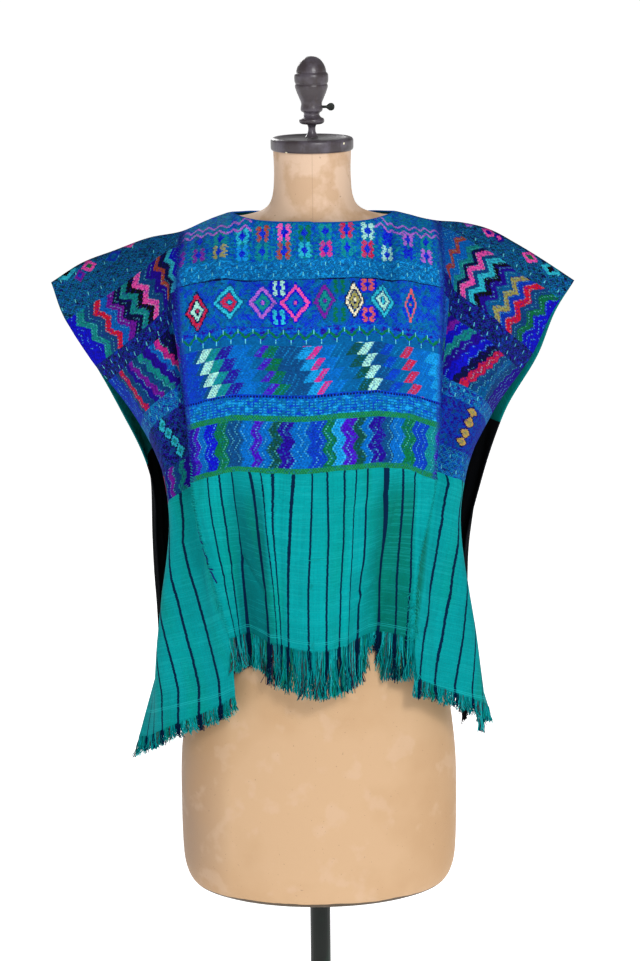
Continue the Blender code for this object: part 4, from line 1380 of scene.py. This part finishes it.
def finish_cloth(paint, shader, stitch, spread, bump, painted_light_level=1.0):
    """Vary the stitches' colour and give them relief; stitch is the width and depth of one. The whole colour
    is scaled by the last argument, a painted light level: painted shade below 1, painted light above it.
    """
    tree = paint.tree
    wide, deep = stitch
    row = (paint.smooth_v / deep).floor()
    shifted = paint.smooth_u / wide + row * 0.5
    light = paint.chance(shifted.floor(), row) * (2 * spread) + (1 - spread)
    wear = paint.noise(60, 60, 21.0, 3.0) * 0.3 + 0.85
    tint = add_node(tree, "HueSaturation", {"Value": light * wear * painted_light_level, "Color": paint.colour})
    feed(tree, shader.inputs["Base Color"], tint.outputs["Color"])
    cushion = (shifted.fract() * math.pi).sin() * ((paint.smooth_v / deep).fract() * math.pi).sin()
    relief_from(tree, shader, cushion.calc("POWER", 0.6) + light * 0.4, bump, 0.9)


def cloth_shader(name):
    """A matte cloth material and its shader."""
    made, shader = shader_of(name, 0.82)
    shader.inputs["Specular IOR Level"].default_value = 0.05
    return made, shader


def plain_weave(name, painter, *rest, **more):
    """A material of plain cloth or of loose threads, which a painter function colours."""
    made, shader = cloth_shader(name)
    paint = Paint(made.node_tree, "plain", 0.0, PLAIN_STEP, 0.0)
    painter(paint, *rest, **more)
    finish_cloth(paint, shader, PLAIN_THREAD, 0.10, 0.00025)
    return made


def brocade(band, top, stray, painted_light_level):
    """A band's material, coloured by its painter, with odd stitches, painted shade along the seams, and the
    whole colour scaled by a painted light level.
    """
    made, shader = cloth_shader(band.name)
    paint = Paint(made.node_tree, "cloth", top, BROCADE_STITCH, 5.0)
    band.painter(paint, *band.more)
    paint.over((paint.chance(paint.u, paint.t) < 0.14) * 0.6, stray)
    # Painted shade along the seams, up to 9 mm to either side.
    from_seam = (paint.u.abs() - SEAM_U).abs()
    paint.over((1.0 - from_seam / 9.0).held(0.6), "indigo")
    finish_cloth(paint, shader, BROCADE_STITCH, 0.22, 0.0005, painted_light_level)
    return made


# Colours of the fringe's strands
FRONT_ENDS = ("teal_ground", "teal_dark", "teal_ground", "teal_light", "teal_green", "teal_ground", "deep",
              "teal_light", "teal_ground", "teal_dark", "teal_ground", "mauve", "teal_dark")


def loose_ends(paint, stripes, names=FRONT_ENDS, dark="ink"):
    """Fringe: each strand has one colour, dark where a stripe ends."""
    strand = paint.chance((paint.smooth_u * 37.0).floor())
    paint.cover(pick_each(strand * len(names) - 0.5, names))
    stray = paint.smooth_u + (strand - 0.5) * 4.0
    for stripe in stripes:
        paint.over((stray - stripe.at[-1]).abs() < stripe.wide * 0.9, dark)


def shade_valleys(paint):
    """Painted shade on the teal cloth: darker in the two valleys beside the middle roll, and a little darker
    over the side lengths.
    """
    u = paint.smooth_u
    low = ((paint.smooth_v - BROCADE_V) / 60.0).held(1.0)
    left = ((u + 168.0) / 30.0).held(1.0) * ((-57.0 - u) / 8.0).held(1.0)
    right = ((u - 64.0) / 60.0).held(1.0) * ((183.0 - u) / 10.0).held(1.0)
    # Painted shade in the valleys beside the middle roll, greener on the right.
    paint.over(low * left * 0.72, "teal_painted_shade")
    paint.over(low * right * 0.75, "teal_green_painted_shade")
    # Painted shade over the side lengths, outward from the seams.
    paint.over(((u.abs() - 184.0) / 4.0).held(1.0) * 0.12, "teal_painted_shade")


def striped(paint, stripes, ground="teal_ground", hem=None):
    """Plain weave with narrow warp stripes, painted shade on a teal ground, and two pale weft lines above the
    hem.
    """
    paint.cover(ground)
    if ground != "black":
        shade_valleys(paint)
        paint.over(((paint.noise(46, 150, 61.0) - 0.52) * 4.0).held(1.0) * 0.4, "teal_green")
        paint.over((paint.noise(1.8, 300, 15.0) > 0.56) * 0.18, "teal_dark")
        paint.over((paint.noise(160, 1.5, 31.0) > 0.57) * 0.14, "teal_dark")
        paint.over((paint.noise(120, 1.5, 37.0) > 0.60) * 0.18, "teal_light")
    tooth = paint.chance((paint.smooth_t / 1.4).floor(), (paint.smooth_u / 20.0).floor())
    edge = paint.smooth_u + (tooth - 0.5) * 0.7
    for stripe in stripes:
        paint.over((edge - stripe.at[-1]).abs() < stripe.wide / 2, "ink")
    if hem:
        for above in (13.0, 10.5):
            paint.over(((paint.smooth_v - hem + above).abs() < 0.5) * 0.5, "teal_light")


# The pattern's bands from the top down: where each ends, in millimetres below the pattern's top, the name of
# its material, and the painter function with its settings
Band = namedtuple("Band", "ends name painter more")
LEFT_BANDS = [
    Band(68, "left_ridge", gems, (LEFT_GEMS, 68)),
    Band(136, "left_zigzag", zigzag, (LEFT_STRIPES, -400, -180, 12.0, 27.0, -0.33)),
    Band(158, "left_flecks", flecks, (("indigo", "navy", "indigo", "blue"), 22, "navy", "lake")),
    Band(217, "left_dark_zigzag", zigzag, (LEFT_DARK, -400, -180, 4.0, 14.0, -0.55, 60.0)),
    Band(238, "left_low_flecks", flecks, (("blue", "indigo", "lake", "blue"), 21, "azure", "cyan")),
    Band(300, "left_slants", lozenges, (("indigo", "navy", "indigo", "steel"), LEFT_LOZENGES)),
    Band(340, "left_low_zigzag", zigzag, (LEFT_DARK, -400, -180, 5.0, 20.0, 0.0, 40.0)),
]
CENTRE_BANDS = [
    Band(60, "flowers", flowers, ()),
    Band(87, "flecks", flecks, ()),
    Band(151, "diamonds", diamonds, ()),
    Band(175, "hills", hills, ()),
    Band(238, "slants", slants, ()),
    Band(265, "dotted_blue", dotted_blue, ()),
    Band(340, "bold_zigzag", bold, ()),
]
RIGHT_BANDS = [
    Band(38, "right_ridge", gems, (RIGHT_GEMS, 38)),
    Band(117, "right_zigzag", zigzag, (RIGHT_STRIPES, 180, 400, 12.0, 27.0, 0.33, 79.0)),
    Band(147, "right_flecks", flecks, (("indigo", "navy", "indigo", "blue"), 30, "navy", "lake")),
    Band(218, "right_dark_zigzag", zigzag, (RIGHT_DARK, 180, 400, 4.0, 14.0, 0.6, 70.0)),
    Band(238, "right_low_flecks", flecks, (("blue", "indigo", "lake", "blue"), 20, "azure", "cyan")),
    Band(302, "right_slants", lozenges, (("blue", "indigo", "blue", "steel"), RIGHT_LOZENGES)),
    Band(340, "right_low_zigzag", flecks, (("steel", "blue", "steel", "indigo"), 38, "azure", "cyan")),
]
BANDS = {"left": LEFT_BANDS, "centre": CENTRE_BANDS, "right": RIGHT_BANDS}
THREADS = {
    "dark_thread": ("navy", "indigo", "navy"),
    "green_thread": ("teal_light", "teal_ground", "teal_green"),
    "neck_thread": ("lake", "blue", "lake"),
}


def cloth_materials():
    """The materials of each length's bands from the top down, its plain cloth last, and of the rest."""
    made = {}
    for length in LENGTHS:
        side, bands = length.side, BANDS[length.side]
        # The side lengths' brocade is dimmed as painted shade, and the centre's a little brightened as
        # painted light.
        stray, painted_light_level = ("lake", 1.03) if side == "centre" else ("indigo", 0.77)
        tops = [0, *(band.ends for band in bands)]
        made[side] = [brocade(band, top, stray, painted_light_level) for band, top in zip(bands, tops)]
        made[side].append(plain_weave(f"{side}_plain", striped, STRIPES[side], hem=length.long * 1000))
        made[f"{side}_ends"] = plain_weave(f"{side}_ends", loose_ends, STRIPES[side])
    # The reverse, the inside face of every length, gets a darker teal ground than the front as painted shade.
    made["reverse"] = plain_weave("reverse", striped, STRIPES["centre"], "teal_dark")
    made["black"] = plain_weave("black_plain", striped, (), "black")
    for name, colours in THREADS.items():
        made[name] = plain_weave(name, loose_ends, (), colours)
    return made


def noise_in_space(tree, scale, detail=3.0, stretch=(1.0, 1.0, 1.0)):
    """Cloudy noise from 0 to 1 in the object's own space; scale is clouds for each metre."""
    place = add_node(tree, "TexCoord", {})
    size = add_node(tree, "Mapping", {"Scale": stretch, "Vector": place.outputs["Object"]})
    inputs = {"Scale": scale, "Detail": detail, "Vector": size.outputs["Vector"]}
    return Number(tree, add_node(tree, "TexNoise", inputs).outputs[0])


def layered(tree, shader, base, layers):
    """A base colour with layers over it, each a mask and a colour."""
    paint = Layers(tree, base)
    for mask, colour in layers:
        paint.over(mask, colour)
    feed(tree, shader.inputs["Base Color"], paint.colour)


def object_place(tree):
    """The object's own x, y and z."""
    place = add_node(tree, "TexCoord", {})
    split = add_node(tree, "SeparateXYZ", {"Vector": place.outputs["Object"]})
    return [Number(tree, split.outputs[axis]) for axis in "XYZ"]


def canvas_material():
    """Old canvas over papier mache: tan, stained and rubbed, with a faint seam down the front. Its sides are
    browner, partly browned canvas and partly painted shade, and its left side is darker with painted shade.
    """
    made, shader = shader_of("old_canvas", 0.62)
    tree = made.node_tree
    x, y, z = object_place(tree)
    stain = noise_in_space(tree, 5.0, 4.0)
    blot = noise_in_space(tree, 26.0, 5.0)
    speck = noise_in_space(tree, 330.0, 1.0)
    thread_x = (x * 1500.0).fract()
    weave = noise_in_space(tree, 900.0, 2.0)
    layered(tree, shader, "canvas", [
        # Browner towards both sides: partly browned canvas, partly painted shade where the form turns from
        # the light.
        (((x.abs() - 0.12) * 8.0).held(0.40), "canvas_brown"),
        # Painted shade down the left side.
        (((-0.115 - x) * 10.0).held(0.72), "canvas_painted_shade"),
        (((stain - 0.48) * 3.0).held(0.50), "canvas_brown"),
        (((blot - 0.56) * 2.0).held(0.16), "canvas_pink"),
        (((z - 1.26) * 12.0).held(0.6), "canvas_pink"),
        ((z > 1.30) * ((blot - 0.5) * 5.0).held(0.5), "canvas_brown"),
        ((speck > 0.765) * 0.40, "canvas_speck"),
        ((x.abs() < 0.0006) * (y < 0.0) * (z > 1.28) * 0.18, "canvas_speck"),
        ((z + blot * 0.006 < 0.4150) * 0.85, "iron"),
    ])
    relief_from(tree, shader, weave + thread_x * 0.2 + blot * 1.5, 0.0006, 0.5)
    return made


def painted_wood():
    """Dark painted wood, clouded with grey, with two chips at the cap's front."""
    made, shader = shader_of("painted_wood", 0.36)
    tree = made.node_tree
    x, y, z = object_place(tree)
    cloud = noise_in_space(tree, 45.0, 4.0)
    grain = noise_in_space(tree, 260.0, 2.0, (1.0, 1.0, 0.25))
    layered(tree, shader, "wood_dark", [
        (((cloud - 0.45) * 3.0).held(0.7), "wood_grey"),
        ((grain > 0.62) * 0.35, "wood_brown"),
        ((cloud < 0.34) * 0.5, "wood_brown"),
        (((x + 0.033).abs() < 0.0012) * ((z - 1.4045).abs() < 0.0009) * (y < 0.0), "cream"),
        (((x - 0.041).abs() < 0.0009) * ((z - 1.4150).abs() < 0.0012) * (y < 0.0), "cream"),
    ])
    relief_from(tree, shader, grain + cloud, 0.0005, 0.6)
    return made


def old_iron():
    """Dark cast iron with a greenish skin and a little rust."""
    made, shader = shader_of("old_iron", 0.48, 0.55)
    tree = made.node_tree
    cloud = noise_in_space(tree, 30.0, 4.0)
    grit = noise_in_space(tree, 700.0, 2.0)
    layered(tree, shader, "iron", [
        (((cloud - 0.5) * 4.0).held(0.6), "iron_green"),
        ((cloud < 0.36) * (grit > 0.5) * 0.5, "wood_brown"),
    ])
    relief_from(tree, shader, grit * 0.4 + cloud, 0.0004, 0.5)
    return made


def put_on(piece, materials, node=None):
    """Give a piece its materials, fasten it to the part's body, and let it replace a solid."""
    for material in materials:
        piece.data.materials.append(material)
    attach(piece, "root")
    if node:
        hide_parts(node)


def make_stand():
    """The form with its cap and finial, and the iron of the thumbscrew, pole and base."""
    put_on(torso(), [canvas_material()], "form_torso")
    wood, iron = painted_wood(), old_iron()
    (_, _, low), (radius, _, high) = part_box("neck_cap")
    cap = lathe("turned_cap", [
        (0.0002, high - 0.0009),
        (radius - 0.0105, high - 0.0009),
        (radius - 0.0095, high - 0.0002),
        (radius - 0.0085, high),
        (radius - 0.0040, high),
        (radius - 0.0018, high - 0.0008),
        (radius - 0.0005, high - 0.0024),
        (radius, high - 0.0042),
        (radius, low + 0.0030),
        (radius - 0.0009, low + 0.0008),
        (radius - 0.0025, low),
        (0.0002, low),
    ])
    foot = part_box("finial")[0][2]
    top = lathe("turned_finial", finer([(radius, foot + rise) for radius, rise in FINIAL]))
    put_on(cap, [wood], "neck_cap")
    put_on(top, [wood], "finial")
    for node in ("thumb_screw", "pole", "base"):
        for slot in bpy.data.objects[node].material_slots:
            slot.material = iron


def camera():
    """The photograph's view."""
    data = bpy.data.cameras.new("camera")
    data.sensor_fit = "VERTICAL"
    data.sensor_height = SENSOR
    data.lens = CAMERA_LENS
    made = bpy.data.objects.new("camera", data)
    tilt = Matrix.Rotation(math.pi / 2 - CAMERA_PITCH, 4, "X") @ Matrix.Rotation(-CAMERA_ROLL, 4, "Z")
    made.matrix_world = Matrix.Translation(CAMERA_PLACE) @ tilt
    bpy.context.scene.collection.objects.link(made)
    bpy.context.scene.camera = made


def area_light(name, place, size, power):
    """A round light that shines on the garment."""
    data = bpy.data.lights.new(name, "AREA")
    data.shape = "DISK"
    data.size = size
    data.energy = power
    made = bpy.data.objects.new(name, data)
    made.location = place
    made.rotation_euler = (Vector((0, 0, 1.0)) - Vector(place)).to_track_quat("-Z", "Y").to_euler()
    bpy.context.scene.collection.objects.link(made)


def stage():
    """A wide pale floor, which rises far away on all sides, and soft light."""
    bowl = [(0.01, 0.0), (34.0, 0.0), (39.0, 0.8), (41.5, 2.4), (42.0, 4.5)]
    floor = lathe("floor", bowl, 96, ends=False)
    paper, shader = shader_of("floor_paper", 0.9)
    shader.inputs["Base Color"].default_value = (0.95, 0.95, 0.95, 1)
    shader.inputs["Emission Color"].default_value = (1, 1, 1, 1)
    shader.inputs["Emission Strength"].default_value = 0.74
    floor.data.materials.append(paper)
    world = bpy.data.worlds.new("studio")
    world.use_nodes = True
    background = world.node_tree.nodes["Background"]
    background.inputs["Color"].default_value = (1, 1, 1, 1)
    background.inputs["Strength"].default_value = 0.30
    bpy.context.scene.world = world
    area_light("key", (1.1, -3.1, 2.9), 0.9, 70)
    area_light("fill", (-1.5, -3.0, 1.6), 1.4, 6)
    area_light("back", (-1.2, 3.2, 2.6), 1.4, 50)
    bpy.context.scene.view_settings.view_transform = "Standard"


def both_halves():
    """The front and the back of the garment, creased and puckered."""
    front = half_garment("front", CENTRE_FRONT, LEFT_FRONT, RIGHT_FRONT, FRONT_NECK_Y)
    back = half_garment("back", CENTRE_BACK, LEFT_BACK, RIGHT_BACK, BACK_NECK_Y, front)
    waves(back, folds=2.5, height=0.009, begins=0.15, full=0.42)
    work_surface(back, creases(back, BACK_CREASES) + unevenness(back, 0.0006) + seams(back))
    work_surface(front, creases(front, FRONT_CREASES) + unevenness(front, 0.0005) + seams(front))
    share_fold_normals(front, back)
    return front, back


def dress_front(half, length, cloths, seed):
    """A length's front and its fringe."""
    side, drop = length.side, HEM_DROP[length.side]
    ends = fringe(f"{side}_front_strands", half, length, drop, seed)
    put_on(ends, [cloths[f"{side}_ends"]], f"{side}_front_fringe")
    fold, hem = np.zeros(len(half.across)), hem_line(half, length, drop)
    edges = [band.ends / 1000 for band in BANDS[side]]
    cloth = panel(f"{side}_front_cloth", half, length, fold, hem, edges, SHIFTS[side], STRIPES[side])
    put_on(cloth, [*cloths[side], cloths["reverse"]], f"{side}_front")
    above_fold = float(half.start[warp_lines(half, length)].mean())
    flat = (length.wide, length.long - above_fold + sum(drop) / 2)


def dress_back(half, length, cloths, seed):
    """A length's back: the brocaded yoke, the black skirt below it, and its fringe."""
    side, black, own = length.side, cloths["black"], warp_lines(half, length)
    fold, join = np.zeros(len(half.across)), half.join - half.start
    ends = fringe(f"{side}_back_strands", half, length, (0.0, 0.0), seed)
    put_on(ends, [black], f"{side}_back_fringe")
    edges = [band.ends / 1000 for band in BANDS[side] if band.ends / 1000 < join[own].min() - 0.03]
    yoke = panel(f"{side}_yoke_cloth", half, length, fold, join, edges, SHIFTS[side])
    put_on(yoke, [*cloths[side][:len(edges) + 1], cloths["reverse"]], f"{side}_back_yoke")
    skirt = panel(f"{side}_skirt_cloth", half, length, join, length.long - half.start, [])
    put_on(skirt, [black, black], f"{side}_back_skirt")
    flat = (length.wide, length.long - float(half.join[own].mean()))


def sew(front, back, cloths):
    """The hand sewing that shows on the front, and the neck's turned edge."""
    for name, runs, radius, thread in (
        ("left_top_seam", seam_stitches(-SEAM_U, 20, BROCADE_V, 4.6, 5.0, 11), 0.00045, "neck_thread"),
        ("right_top_seam", seam_stitches(SEAM_U, 20, BROCADE_V, 4.6, 5.0, 12), 0.00045, "neck_thread"),
        ("left_low_seam", seam_stitches(-SEAM_U, BROCADE_V, 560, 3.8, 5.5, 14), 0.0005, "green_thread"),
        ("right_low_seam", seam_stitches(SEAM_U, BROCADE_V, 560, 4.6, 5.0, 15), 0.00045, "green_thread"),
        ("left_darning", DARNS, 0.0009, "dark_thread"),
        ("left_seam_fuzz", curls(-SEAM_U - 3, 455, 8, 150, 40, 9, 16), 0.0003, "green_thread"),
        ("right_seam_fuzz", curls(SEAM_U - 3, 535, 12, 64, 44, 16, 13), 0.0003, "green_thread"),
        ("mended_spot", MENDS, 0.0004, "green_thread"),
    ):
        put_on(threads(name, front, runs, radius), [cloths[thread]])
    put_on(neck_edge(front, back), [cloths["neck_thread"]])


def main():
    """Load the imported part, dress it, and set the view and the light."""
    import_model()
    camera()
    front, back = both_halves()
    cloths = cloth_materials()
    for seed, length in enumerate(LENGTHS):
        dress_front(front, length, cloths, seed)
        dress_back(back, length, cloths, seed + len(LENGTHS))
    sew(front, back, cloths)
    make_stand()
    stage()


main()
